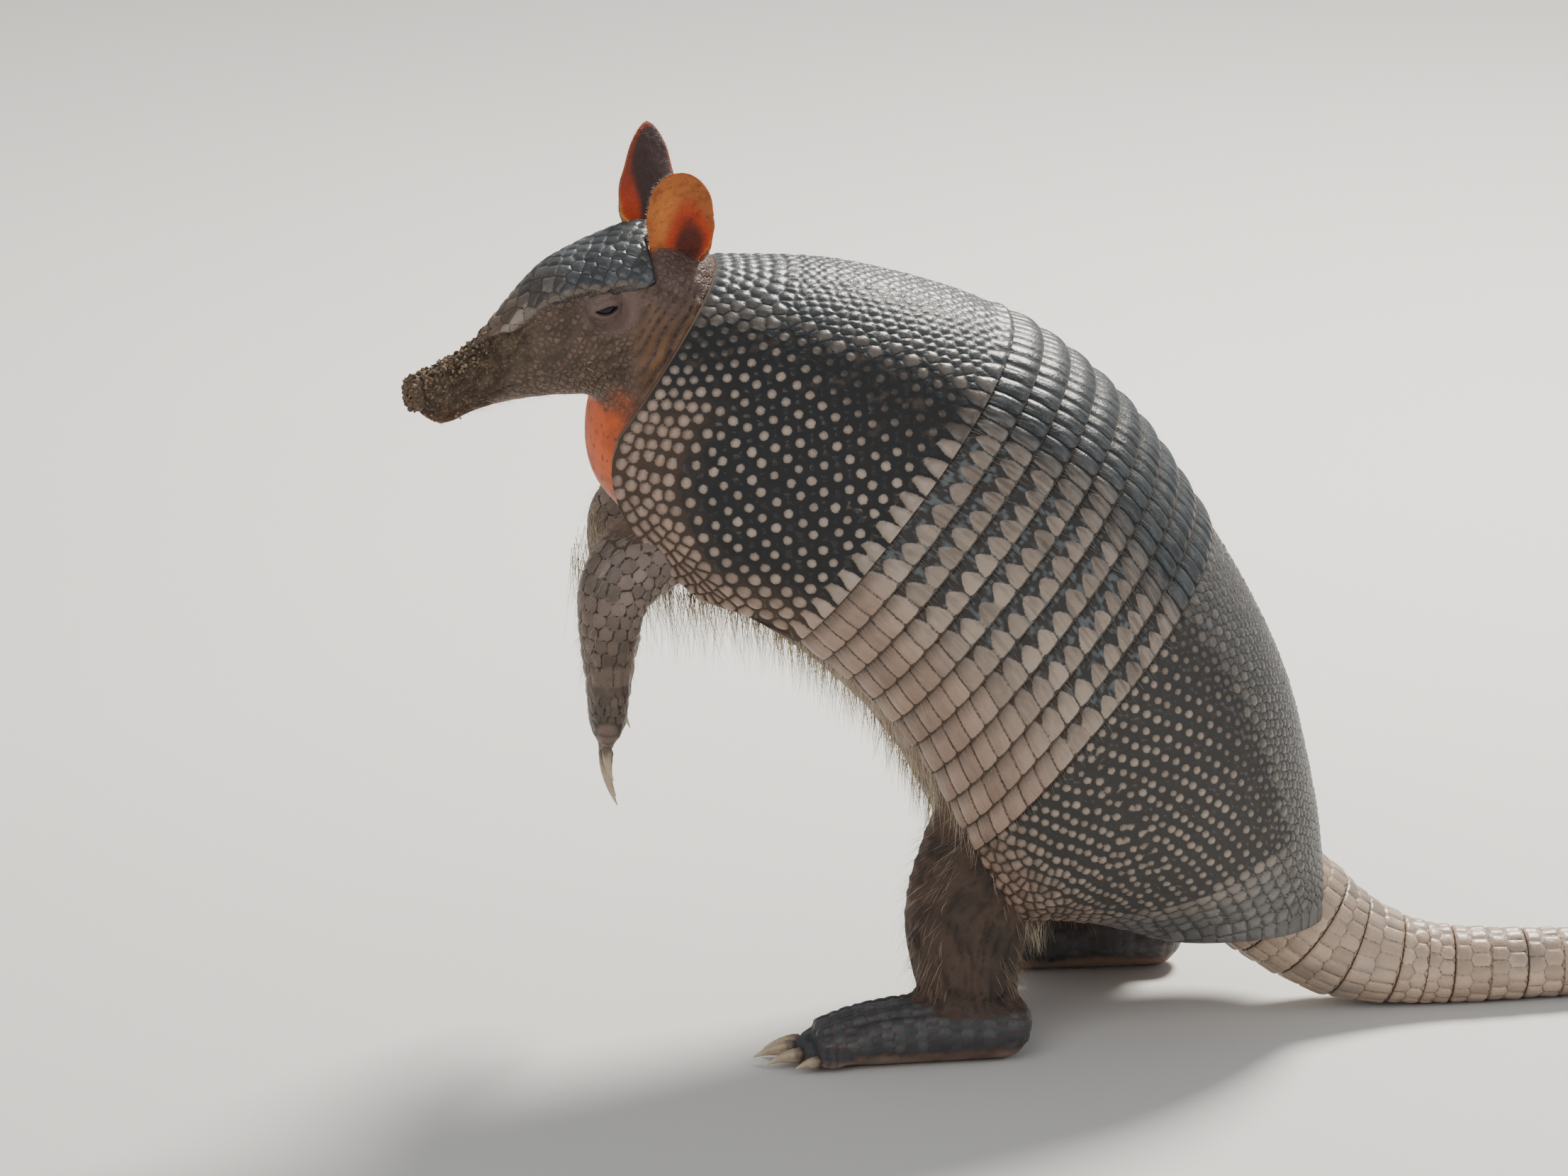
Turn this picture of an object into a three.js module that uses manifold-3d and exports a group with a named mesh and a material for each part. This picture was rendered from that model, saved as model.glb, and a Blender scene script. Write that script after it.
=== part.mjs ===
// Nine-banded armadillo (Dasypus novemcinctus), life size, standing upright on its hind feet and tail.
//
// Millimetres, +Z up. The animal looks along -X and its left side is -Y. The floor is z = 0: both soles and
// the underside of the tail are small flats at that level. The finished model is centred over the origin.
//
// The body is a solid trunk under a shell of separate plates: a shoulder shield, nine movable bands and a
// rump shield. Every plate follows the same curved hide surface, so neighbours line up with even gaps.

import * as THREE from "three";
import * as BufferGeometryUtils from "three/addons/utils/BufferGeometryUtils.js";
import Module from "manifold-3d";

const wasm = await Module();
wasm.setup();

// ---------------------------------------------------------------------------------------------------------
// Driving dimensions

const GAP = 0.3; // clearance between neighbouring solids
const PLATE = 3.6; // thickness of the shell plates
const UNDER_PLATE = 0.7; // room between the plates and the flesh below them
const EDGE_ANGLE = 136; // angle from the ridge of the back to a plate's lower edge, degrees
const PLATE_FACETS = 20; // facets round a plate from one lower edge to the other

const SHOULDER_REAR = 89.5; // distances along the ridge of the back
const BAND_COUNT = 9;
const BAND_PITCH = 9.6;
const RUMP_FRONT = SHOULDER_REAR + BAND_COUNT * BAND_PITCH;
const RUMP_REAR = 303;
const COLLAR_SWEEP = 55; // how far the shoulder shield's lower front corner is cut back
const BAND_LIFT = 1.1; // how far a band's rear margin stands over the next band

const HEAD_PIVOT = new THREE.Vector3(-75, 0, 0); // the head turns on the neck about this upright line
const HEAD_YAW = 14; // degrees towards the left side
const HEAD_ROLL = 5; // degrees, left side down
const HEAD_AXIS_Z = 214; // the head rolls about this height
const CROWN = { rear: -5, front: 60, rearSpread: 60, frontSpread: 36 }; // the head shield's reach, and angles
const CROWN_PLATE = [0.8, 2.1]; // the head shield's underside and outside over the skin
const EYE_PLACE = { ahead: 25.2, aside: 14.6, up: 227.2 }; // in head coordinates

const EAR_LENGTH = 33.8;
const EAR_HALF_WIDTH = 10;
const EAR_THICKNESS = 1.9;
const EYE_RADIUS = 4.3;

const EAR_AHEAD = { left: 1.6, right: 4.2 }; // the right ear is pricked further forwards

const RIGHT_FOOT_BACK = 54; // the right hind foot stands this far behind the left one
const RIGHT_ARM_BACK = 8; // the right foreleg hangs this far behind the left one

const TAIL_LENGTHS = 11; // ringed lengths before the tip

const COLOURS = {
  shell: { color: 0x4a4743, roughness: 0.45, metalness: 0 },
  band: { color: 0x7a6c62, roughness: 0.5, metalness: 0 },
  skin: { color: 0x6b5040, roughness: 0.7, metalness: 0 },
  ear: { color: 0xb2562c, roughness: 0.6, metalness: 0 },
  nose: { color: 0x6a4d3c, roughness: 0.5, metalness: 0 },
  eye: { color: 0x120d0a, roughness: 0.08, metalness: 0 },
  claw: { color: 0xb9a88c, roughness: 0.4, metalness: 0 },
  tail: { color: 0xa08f80, roughness: 0.5, metalness: 0 },
};

// ---------------------------------------------------------------------------------------------------------
// Outlines: each row is a station followed by its sizes there

// distance along the back, ridge x, ridge z, lean of the cross-section (degrees), half-height, half-width
const TRUNK_ROWS = [
  [0, -62, 234.2, 35, 57, 37.5],
  [41, -21.3, 230.5, 36, 59, 49],
  [89.5, 24.7, 215, 37.3, 60.5, 56],
  [133, 59.3, 188.2, 38.5, 62, 59],
  [176, 84, 152.6, 39.7, 63.5, 60],
  [225, 106.5, 110, 51, 59, 58],
  [268, 117.2, 67.8, 70, 46.5, 50],
  [303, 121.5, 32, 88, 31, 35],
];

// distance from the neck pivot towards the snout, top z, bottom z, half-width
const HEAD_ROWS = [
  [-10.5, 232, 215, 11],
  [-6, 238.8, 207, 16],
  [0.5, 243.4, 200, 20.4],
  [9, 244.4, 196.5, 22],
  [18, 242.2, 196.2, 21.3],
  [28, 238.6, 196.4, 19],
  [38, 234, 196.4, 15.6],
  [50, 222.6, 195.4, 11],
  [60, 212.8, 193.4, 8.6],
  [70, 207.6, 189.6, 7.4],
  [76.5, 204.6, 193.2, 6.2],
];

// ridge x, ridge z, throat x, throat z, half-width
const NECK_ROWS = [
  [-44, 214, -76, 146, 33],
  [-56, 226, -97, 168, 31],
  [-62, 233, -100, 188, 27],
  [-64, 239, -94, 203, 19],
];

// x, y, z, half-size fore and aft, half-size sideways; left leg, top to bottom
const FORELEG_ROWS = [
  [-70, -26, 162, 14, 11],
  [-83, -33, 155, 13, 10.5],
  [-93, -37.5, 145, 11, 10],
  [-95.5, -39, 131, 8.6, 8.8],
  [-95.5, -39, 119, 6.8, 7.6],
];

const FOREPAW_ROWS = [
  [-95.5, -39, 118.6, 6.2, 7.2],
  [-95.8, -38.8, 112, 6.2, 8.6],
  [-96, -38.5, 105, 5.4, 9.4],
  [-96.2, -38.2, 101.5, 4.4, 9],
];

const HINDLEG_ROWS = [
  [30, -23, 70, 26, 14],
  [20, -28, 56, 24, 14],
  [12, -33.5, 42, 20.5, 13],
  [10, -38.5, 28, 16.5, 11],
  [12, -41.5, 17, 13.5, 9.8],
];

const HINDFOOT_ROWS = [
  [29, -42, 7.6, 7, 8],
  [22, -42.3, 8.8, 9.2, 10.2],
  [9, -42.6, 9.4, 10, 11.6],
  [-7, -43.2, 8.8, 9.6, 12.4],
  [-21, -43.8, 7.6, 8.4, 13.2],
  [-34, -44.2, 5.4, 6, 12.6],
];

// x, y, z of the tail's middle line, radius
const TAIL_ROWS = [
  [96, 0, 42, 20],
  [112, 0, 29, 19],
  [128, 0, 18.4, 16.4],
  [150, 0.5, 12.1, 12.4],
  [180, 2.5, 10.3, 10.6],
  [230, 10, 9.0, 9.3],
  [280, 24, 7.5, 7.8],
  [330, 42, 5.9, 6.2],
  [372, 54, 4.2, 4.5],
  [404, 59, 2.7, 3.0],
  [424, 59, 1.6, 1.9],
];

const TAIL_TIP_START = 0.74; // part of the tail's run where the ringed lengths end

// ---------------------------------------------------------------------------------------------------------
// Small tools

const radians = THREE.MathUtils.degToRad;

/** Values of a table of rows at a station: a smooth cubic through the rows, with slopes from the neighbours. */
function along(rows, station) {
  const last = rows.length - 1;
  let i = 0;
  while (i < last - 1 && rows[i + 1][0] < station) {
    i += 1;
  }
  const slope = (k, c) => {
    const before = rows[Math.max(k - 1, 0)];
    const after = rows[Math.min(k + 1, last)];
    return (after[c] - before[c]) / (after[0] - before[0]);
  };
  const span = rows[i + 1][0] - rows[i][0];
  const t = (station - rows[i][0]) / span;
  const a = 2 * t ** 3 - 3 * t ** 2 + 1;
  const b = t ** 3 - 2 * t ** 2 + t;
  const c = t ** 3 - t ** 2;
  return rows[i].slice(1).map((value, k) => {
    const column = k + 1;
    const next = rows[i + 1][column];
    return a * value + (1 - a) * next + span * (b * slope(i, column) + c * slope(i + 1, column));
  });
}

/** The same rows with their number placed in front as the station. */
function numbered(rows) {
  return rows.map((row, i) => [i, ...row]);
}

/** Even steps from one value to another, both ends included. */
function steps(from, to, count) {
  return Array.from({ length: count + 1 }, (_, i) => from + ((to - from) * i) / count);
}

/** A power that keeps the sign, for rounded-square sections. */
function signedPower(value, power) {
  return Math.sign(value) * Math.abs(value) ** power;
}

/** A closed body from points and faces, turned so that its faces point out. */
function body(points, faces) {
  let volume = 0;
  for (const [a, b, c] of faces) {
    volume += points[a].dot(new THREE.Vector3().crossVectors(points[b], points[c]));
  }
  const outward = volume > 0 ? faces : faces.map(([a, b, c]) => [a, c, b]);
  const geometry = new THREE.BufferGeometry();
  geometry.setAttribute("position", new THREE.Float32BufferAttribute(points.flatMap((p) => p.toArray()), 3));
  geometry.setIndex(outward.flat());
  return geometry;
}

/** A closed body from rings of equal count, with a fan of faces over each end. */
function loft(rings) {
  const count = rings[0].length;
  const points = rings.flat();
  const faces = [];
  for (let i = 0; i + 1 < rings.length; i += 1) {
    for (let j = 0; j < count; j += 1) {
      const a = i * count + j;
      const b = i * count + ((j + 1) % count);
      faces.push([a, a + count, b], [b, a + count, b + count]);
    }
  }
  for (const start of [0, (rings.length - 1) * count]) {
    const middle = new THREE.Vector3();
    for (let j = 0; j < count; j += 1) {
      middle.addScaledVector(points[start + j], 1 / count);
    }
    points.push(middle);
    for (let j = 0; j < count; j += 1) {
      const edge = [start + j, start + ((j + 1) % count), points.length - 1];
      faces.push(start === 0 ? edge : [edge[1], edge[0], edge[2]]);
    }
  }
  return body(points, faces);
}

/** A closed plate between two grids of equal size, one over the other. */
function plate(outer, inner) {
  const rows = outer.length;
  const columns = outer[0].length;
  const size = rows * columns;
  const points = [...outer.flat(), ...inner.flat()];
  const faces = [];
  const quad = (a, b, c, d) => faces.push([a, b, c], [a, c, d]);
  for (let i = 0; i + 1 < rows; i += 1) {
    for (let j = 0; j + 1 < columns; j += 1) {
      const a = i * columns + j;
      quad(a, a + columns, a + columns + 1, a + 1);
      quad(size + a, size + a + 1, size + a + columns + 1, size + a + columns);
    }
  }
  for (let j = 0; j + 1 < columns; j += 1) {
    const z = (rows - 1) * columns + j;
    quad(j, j + 1, size + j + 1, size + j);
    quad(z, size + z, size + z + 1, z + 1);
  }
  for (let i = 0; i + 1 < rows; i += 1) {
    const a = i * columns;
    const z = a + columns - 1;
    quad(a, size + a, size + a + columns, a + columns);
    quad(z, z + columns, size + z + columns, size + z);
  }
  return body(points, faces);
}

/** A geometry as a solid that can be joined and cut. */
function solid(geometry) {
  const bare = geometry.clone();
  bare.deleteAttribute("normal");
  bare.deleteAttribute("uv");
  const merged = BufferGeometryUtils.mergeVertices(bare, 1e-4);
  return new wasm.Manifold(
    new wasm.Mesh({
      numProp: 3,
      vertProperties: new Float32Array(merged.attributes.position.array),
      triVerts: new Uint32Array(merged.index.array),
    }),
  );
}

/** A solid back as a geometry. */
function geometryOf(manifold) {
  const mesh = manifold.getMesh();
  const geometry = new THREE.BufferGeometry();
  geometry.setAttribute("position", new THREE.Float32BufferAttribute(mesh.vertProperties, 3));
  geometry.setIndex(Array.from(mesh.triVerts));
  return geometry;
}

/** The geometry less each cutter; where that leaves crumbs, the largest piece is kept. */
function carve(geometry, ...cutters) {
  let result = solid(geometry);
  for (const cutter of cutters) {
    result = result.subtract(solid(cutter));
  }
  const pieces = result.decompose().sort((a, b) => b.volume() - a.volume());
  return geometryOf(pieces[0]);
}

/** Several overlapping geometries joined into one body. */
function join(...geometries) {
  return geometryOf(geometries.map(solid).reduce((all, next) => all.add(next)));
}

/** A limb: rings square to a path of rows [x, y, z, half-size fore and aft, half-size sideways]. */
function limb(rows, sides, cuts, grow = 0) {
  const table = numbered(rows);
  const last = rows.length - 1;
  const centre = (t) => new THREE.Vector3(...along(table, t).slice(0, 3));
  const rings = steps(0, last, cuts).map((t) => {
    const here = along(table, t);
    const ahead = centre(Math.min(t + 0.05, last)).sub(centre(Math.max(t - 0.05, 0))).normalize();
    const side = new THREE.Vector3(0, 1, 0).addScaledVector(ahead, -ahead.y).normalize();
    const fore = new THREE.Vector3().crossVectors(side, ahead);
    const push = t === 0 ? -grow : t === last ? grow : 0;
    return Array.from({ length: sides }, (_, j) => {
      const angle = (2 * Math.PI * (j + 0.5)) / sides;
      return centre(t)
        .addScaledVector(ahead, push)
        .addScaledVector(fore, (here[3] + grow) * Math.cos(angle))
        .addScaledVector(side, (here[4] + grow) * Math.sin(angle));
    });
  });
  return loft(rings);
}

/** A copy on the right-hand side of a body modelled on the left. */
function mirrored(geometry) {
  const copy = geometry.clone().scale(1, -1, 1);
  const index = Array.from(copy.index.array);
  for (let i = 0; i < index.length; i += 3) {
    [index[i + 1], index[i + 2]] = [index[i + 2], index[i + 1]];
  }
  copy.setIndex(index);
  return copy;
}

/** A block that takes off everything under a level. */
function below(level) {
  return new THREE.BoxGeometry(1400, 1400, 100).translate(0, 0, level - 50);
}

// ---------------------------------------------------------------------------------------------------------
// The hide: one surface that the trunk and all plates share

/** A point of the hide: distance along the back, angle from the ridge in degrees, and height over the hide. */
function hide(distance, angle, lift) {
  const [x, z, lean, high, wide] = along(TRUNK_ROWS, distance);
  const up = new THREE.Vector3(Math.sin(radians(lean)), 0, Math.cos(radians(lean)));
  const across = radians(angle);
  const power = Math.cos(across) > 0 ? 2 / 2.15 : 2 / 2.7;
  const width = 2 / 2.35;
  return new THREE.Vector3(x, 0, z)
    .addScaledVector(up, -high)
    .addScaledVector(up, (high + lift) * signedPower(Math.cos(across), power))
    .add(new THREE.Vector3(0, -(wide + lift) * signedPower(Math.sin(across), width), 0));
}

/** Where the shoulder shield begins at an angle round the body. */
function collar(angle) {
  const turn = Math.max(0, Math.abs(angle) - 88) / (EDGE_ANGLE - 88);
  return 1 + COLLAR_SWEEP * turn ** 1.25;
}

/** Where the trunk's flesh begins at an angle round the body: just inside the collar, then across the chest. */
function chest(angle) {
  const turn = Math.max(0, Math.abs(angle) - EDGE_ANGLE) / (180 - EDGE_ANGLE);
  return collar(angle) + 7 - 33 * turn;
}

/** A shell plate between two lines round the body, each a function of the angle. */
function shellPlate(front, rear, cuts, lift, grow = 0) {
  const reach = EDGE_ANGLE + grow * 1.2;
  const grid = (height) =>
    steps(0, 1, cuts).map((t) =>
      steps(-reach, reach, PLATE_FACETS).map((angle) => {
        const from = front(angle) - grow;
        const to = rear(angle) + grow;
        return hide(from + (to - from) * t, angle, height(t));
      }),
    );
  return plate(
    grid((t) => lift(t) + grow),
    grid(() => -PLATE - grow),
  );
}

function shoulderShield(grow = 0) {
  return shellPlate(collar, () => SHOULDER_REAR - GAP / 2, 5, (t) => (t === 1 ? 0.8 : 0), grow);
}

function rumpShield(grow = 0) {
  return shellPlate(() => RUMP_FRONT + GAP / 2, () => RUMP_REAR, 7, (t) => (t === 0 ? -0.4 : 0), grow);
}

function bandPlate(k, grow = 0) {
  const from = SHOULDER_REAR + k * BAND_PITCH + GAP / 2;
  const to = from + BAND_PITCH - GAP;
  return shellPlate(() => from, () => to, 1, (t) => (t === 0 ? -0.5 : BAND_LIFT), grow);
}

function trunk(grow = 0) {
  const angles = steps(-180, 180, 24).slice(1);
  const front = steps(0, 1, 3).map((t) => (angle) => (chest(angle) - grow) * (1 - t) + SHOULDER_REAR * t);
  const middle = steps(SHOULDER_REAR, RUMP_FRONT, 4).slice(1).map((distance) => () => distance);
  const rear = steps(RUMP_FRONT, RUMP_REAR - 4 + grow, 5).slice(1).map((distance) => () => distance);
  const inset = PLATE + UNDER_PLATE + 0.7;
  const rings = [...front, ...middle, ...rear].map((distance) =>
    angles.map((angle) => hide(distance(angle), angle, grow - inset)),
  );
  return loft(rings);
}

// ---------------------------------------------------------------------------------------------------------
// Head

/** From head coordinates (towards the snout, to the left, up) to the body's. */
function headPoint(ahead, left, up) {
  const turn = radians(HEAD_YAW);
  const roll = radians(HEAD_ROLL);
  const aside = left * Math.cos(roll) + (up - HEAD_AXIS_Z) * Math.sin(roll);
  const over = (up - HEAD_AXIS_Z) * Math.cos(roll) - left * Math.sin(roll);
  return new THREE.Vector3(
    HEAD_PIVOT.x - ahead * Math.cos(turn) + aside * Math.sin(turn),
    HEAD_PIVOT.y - ahead * Math.sin(turn) - aside * Math.cos(turn),
    HEAD_AXIS_Z + over,
  );
}

/** A point of the head's surface: distance ahead of the pivot, angle from the crown, height over the skin. */
function headSurface(ahead, angle, lift) {
  const [top, bottom, wide] = along(HEAD_ROWS, ahead);
  const high = (top - bottom) / 2;
  const middle = (top + bottom) / 2;
  const across = radians(angle);
  return headPoint(
    ahead,
    (wide + lift) * signedPower(Math.sin(across), 0.92),
    middle + (high + lift) * signedPower(Math.cos(across), 0.92),
  );
}

function head(grow = 0) {
  const angles = steps(-180, 180, 16).slice(1);
  const stations = steps(HEAD_ROWS[0][0] - grow, HEAD_ROWS.at(-1)[0] + grow, 11);
  return loft(stations.map((ahead) => angles.map((angle) => headSurface(ahead, angle, grow))));
}

/** The bony shield over the crown, narrowing towards the snout. */
function headShield(grow = 0) {
  const grid = (lift) =>
    steps(CROWN.rear - grow, CROWN.front + grow, 8).map((ahead) => {
      const t = Math.max(0, ahead - CROWN.rear) / (CROWN.front - CROWN.rear);
      const spread = CROWN.rearSpread - (CROWN.rearSpread - CROWN.frontSpread) * t ** 1.5 + grow * 1.6;
      return steps(-spread, spread, 8).map((angle) => headSurface(ahead, angle, lift));
    });
  return plate(grid(CROWN_PLATE[1] + grow), grid(CROWN_PLATE[0] - grow));
}

/** The bare pad at the end of the snout, tilted so that it looks forwards and a little down. */
function nosePad() {
  const centre = headPoint(77.4, 0, 199.4);
  const pad = new THREE.SphereGeometry(5.6, 10, 6);
  pad.scale(0.72, 0.98, 1.02).rotateZ(radians(HEAD_YAW));
  return pad.translate(centre.x, centre.y, centre.z);
}

function eyeball(side, grow = 0) {
  const centre = headPoint(EYE_PLACE.ahead, side * EYE_PLACE.aside, EYE_PLACE.up);
  return new THREE.SphereGeometry(EYE_RADIUS + grow, 8, 6).translate(centre.x, centre.y, centre.z);
}

/** A cupped, round-topped ear that stands on the crown and opens sideways and forwards. */
function ear(side, ahead) {
  const root = headPoint(ahead, side * 10.5, 238 + (ahead > 2 ? 0.8 : 0));
  const turn = radians(HEAD_YAW * side + 74);
  const open = new THREE.Vector3(-Math.cos(turn), -side * Math.sin(turn), 0);
  const edge = new THREE.Vector3(-Math.sin(turn), side * Math.cos(turn), 0);
  const tilt = radians(13);
  const up = new THREE.Vector3(0, -side * Math.sin(tilt), Math.cos(tilt));
  const grid = (back) =>
    steps(0, 1, 6).map((t) => {
      const width = EAR_HALF_WIDTH * (0.36 + 0.64 * Math.sin(Math.PI * Math.min(t, 0.985) ** 0.9) ** 0.62);
      const cup = 1.15 - 0.75 * t;
      return steps(-1, 1, 6).map((q) => {
        const bend = q * cup;
        const rise = EAR_LENGTH * (t - 0.09 * t * q * q);
        return root
          .clone()
          .addScaledVector(up, rise)
          .addScaledVector(edge, (width * Math.sin(bend)) / Math.sin(Math.max(cup, 0.4)) - back * Math.sin(bend))
          .addScaledVector(open, width * (0.75 - Math.cos(bend)) * cup * 0.8 - back * Math.cos(bend));
      });
    });
  return plate(grid(0), grid(EAR_THICKNESS));
}

function neck() {
  const table = numbered(NECK_ROWS);
  const angles = steps(-180, 180, 16).slice(1);
  const rings = steps(0, NECK_ROWS.length - 1, 3).map((t) => {
    const [topX, topZ, lowX, lowZ, wide] = along(table, t);
    return angles.map((angle) => {
      const across = radians(angle);
      const f = (1 + signedPower(Math.cos(across), 0.95)) / 2;
      const bend = t > 2 ? (t - 2) * -4 : 0;
      return new THREE.Vector3(
        lowX + (topX - lowX) * f,
        -wide * signedPower(Math.sin(across), 0.92) + bend,
        lowZ + (topZ - lowZ) * f,
      );
    });
  });
  return loft(rings);
}

// ---------------------------------------------------------------------------------------------------------
// Limbs

/** A digit: a short tapering stub from a root towards a tip. */
function digit(root, tip, radius) {
  return limb([[...root, radius, radius], [...tip, radius * 0.8, radius * 0.9]], 6, 1);
}

/** A curved claw from a toe's end: its rings shrink to a point along an arc that bends down. */
function claw(root, direction, down, length, radius) {
  const rings = [0, 0.5, 0.95].map((t) => {
    const centre = root
      .clone()
      .addScaledVector(direction, length * t)
      .addScaledVector(down, length * 0.28 * t * t);
    const ahead = direction.clone().addScaledVector(down, 0.56 * t).normalize();
    const side = new THREE.Vector3().crossVectors(ahead, down).normalize();
    const over = new THREE.Vector3().crossVectors(side, ahead);
    const size = radius * (1 - 0.9 * t ** 1.3);
    return Array.from({ length: 5 }, (_, j) => {
      const angle = (2 * Math.PI * (j + 0.5)) / 5;
      return centre
        .clone()
        .addScaledVector(side, size * 0.8 * Math.cos(angle))
        .addScaledVector(over, size * Math.sin(angle));
    });
  });
  return loft(rings);
}

// sideways place of each digit, how far it reaches, its radius, claw length and claw radius
const FORE_DIGITS = [
  [-6.6, 3.2, 2.3, 9.5, 1.7],
  [-2.4, 5.6, 2.9, 16, 2.4],
  [2.6, 5.2, 2.9, 15, 2.3],
  [6.8, 2.4, 2.2, 8, 1.6],
];
const HIND_DIGITS = [
  [-10.2, 1.5, 3, 7, 2.1],
  [-5.3, 6.5, 3.8, 10, 2.7],
  [0, 8.5, 4.1, 11.5, 2.9],
  [5.3, 6.5, 3.8, 10, 2.7],
  [10.2, 0.5, 3, 7, 2.1],
];

/** The left fore paw with its toes, and its claws, as separate bodies. */
function forepaw(rows) {
  const end = rows.at(-1);
  const hang = new THREE.Vector3(-0.06, 0.05, -1).normalize();
  const curl = new THREE.Vector3(0.8, 0, -0.1).normalize();
  const toes = [];
  const claws = [];
  for (const [side, reach, radius, length, horn] of FORE_DIGITS) {
    const root = new THREE.Vector3(end[0], end[1] + side, end[2] + 3);
    const tip = root.clone().addScaledVector(hang, reach + 4);
    toes.push(digit(root, tip, radius));
    claws.push(claw(tip.clone().addScaledVector(hang, GAP), hang, curl, length, horn));
  }
  return { paw: join(limb(rows, 10, 3), ...toes), claws };
}

/** Hind leg rows with the leg swung back from the hip, so that its foot stands further behind. */
function stride(rows, back, from, to) {
  const last = rows.length - 1;
  return rows.map(([x, ...rest], i) => [x + back * (from + ((to - from) * i) / last), ...rest]);
}

/** The left hind foot with its toes, flat on the floor, and its claws. */
function hindfoot(rows) {
  const end = rows.at(-1);
  const toes = [];
  const claws = [];
  for (const [side, reach, radius, length, horn] of HIND_DIGITS) {
    const fan = side * 0.018;
    const forward = new THREE.Vector3(-1, fan, -0.04).normalize();
    const root = new THREE.Vector3(end[0] + 6, end[1] + side, radius + 0.9);
    const tip = root.clone().addScaledVector(forward, reach + 6);
    toes.push(digit(root, tip, radius));
    const down = new THREE.Vector3(0, 0, -1);
    const aim = new THREE.Vector3(-1, fan, 0.03).normalize();
    claws.push(claw(tip.clone().addScaledVector(forward, GAP), aim, down, length, horn));
  }
  const foot = carve(join(limb(rows, 10, 5), ...toes), below(0));
  return { foot, claws: claws.map((horn) => carve(horn, below(0.25))) };
}

// ---------------------------------------------------------------------------------------------------------
// Tail

const TAIL_TABLE = numbered(TAIL_ROWS);
const TAIL_END = TAIL_ROWS.length - 1;

/** A ring of the tail's surface, square to its middle line. */
function tailRing(t, lift, shift) {
  const middle = (at) => new THREE.Vector3(...along(TAIL_TABLE, at).slice(0, 3));
  const radius = along(TAIL_TABLE, t)[3] + lift;
  const ahead = middle(Math.min(t + 0.04, TAIL_END)).sub(middle(Math.max(t - 0.04, 0))).normalize();
  const side = new THREE.Vector3(0, 1, 0).addScaledVector(ahead, -ahead.y).normalize();
  const over = new THREE.Vector3().crossVectors(ahead, side);
  return { middle: middle(t).addScaledVector(ahead, shift), side, over, radius };
}

function tailLength(from, to, cuts) {
  const sides = from > 6 ? 10 : 12;
  const rings = steps(0, 1, cuts).map((f) => {
    const shift = f === 0 ? GAP / 2 : f === 1 ? -GAP / 2 : 0;
    const flare = f === 1 && cuts === 1 ? 0.3 : 0;
    const { middle, side, over, radius } = tailRing(from + (to - from) * f, flare, shift);
    return Array.from({ length: sides }, (_, j) => {
      const angle = (2 * Math.PI * (j + 0.5)) / sides;
      return middle
        .clone()
        .addScaledVector(side, radius * Math.cos(angle))
        .addScaledVector(over, radius * Math.sin(angle));
    });
  });
  return loft(rings);
}

// ---------------------------------------------------------------------------------------------------------
// The animal

const nodes = new Map();

function add(name, look, geometry) {
  nodes.set(name, { look, geometry });
}

const shields = [shoulderShield(GAP), rumpShield(GAP)];
const hipBands = [4, 5, 6, 7, 8].map((k) => bandPlate(k, GAP));
const shellCutters = [rumpShield(GAP), ...hipBands];

add("trunk", "skin", carve(trunk(), head(GAP)));
add("shoulder_shield", "shell", shoulderShield());
for (let k = 0; k < BAND_COUNT; k += 1) {
  add(`band_${k + 1}`, "band", bandPlate(k));
}
add("rump_shield", "shell", rumpShield());

add("head", "skin", carve(head(), eyeball(1, GAP), eyeball(-1, GAP)));
add("head_shield", "shell", headShield());
const neckCutters = [head(GAP), trunk(GAP), headShield(GAP), shields[0]];
add("nose", "nose", carve(nosePad(), head(GAP)));
for (const [name, side] of [["left", 1], ["right", -1]]) {
  add(`eye_${name}`, "eye", carve(eyeball(side), headShield(GAP)));
  add(`ear_${name}`, "ear", carve(ear(side, EAR_AHEAD[name]), head(GAP), headShield(GAP), shields[0]));
}
const left = { name: "left", place: (g) => g, arm: 0, foot: 0 };
const right = { name: "right", place: mirrored, arm: RIGHT_ARM_BACK, foot: RIGHT_FOOT_BACK };
for (const { name, place, arm, foot: back } of [left, right]) {
  const armRows = stride(FORELEG_ROWS, arm, 0.6, 1);
  const foreleg = place(limb(armRows, 12, 5));
  const { paw, claws: foreClaws } = forepaw(stride(FOREPAW_ROWS, arm, 1, 1));
  add(`foreleg_${name}`, "skin", carve(foreleg, trunk(GAP), shields[0]));
  neckCutters.push(place(limb(armRows, 12, 5, GAP)));
  add(`forepaw_${name}`, "skin", place(carve(paw, limb(armRows, 12, 5, GAP))));
  foreClaws.forEach((horn, i) => add(`foreclaw_${name}_${i + 1}`, "claw", place(horn)));

  const legRows = stride(HINDLEG_ROWS, back, 0.45, 1);
  const footRows = stride(HINDFOOT_ROWS, back, 1, 1);
  const { foot, claws: hindClaws } = hindfoot(footRows);
  const leg = carve(place(limb(legRows, 12, 5)), trunk(GAP), ...shellCutters, place(limb(footRows, 10, 5, GAP)));
  add(`hindleg_${name}`, "skin", leg);
  add(`hindfoot_${name}`, "skin", place(foot));
  hindClaws.forEach((horn, i) => add(`hindclaw_${name}_${i + 1}`, "claw", place(horn)));
}

add("neck", "skin", carve(neck(), ...neckCutters));

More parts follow.
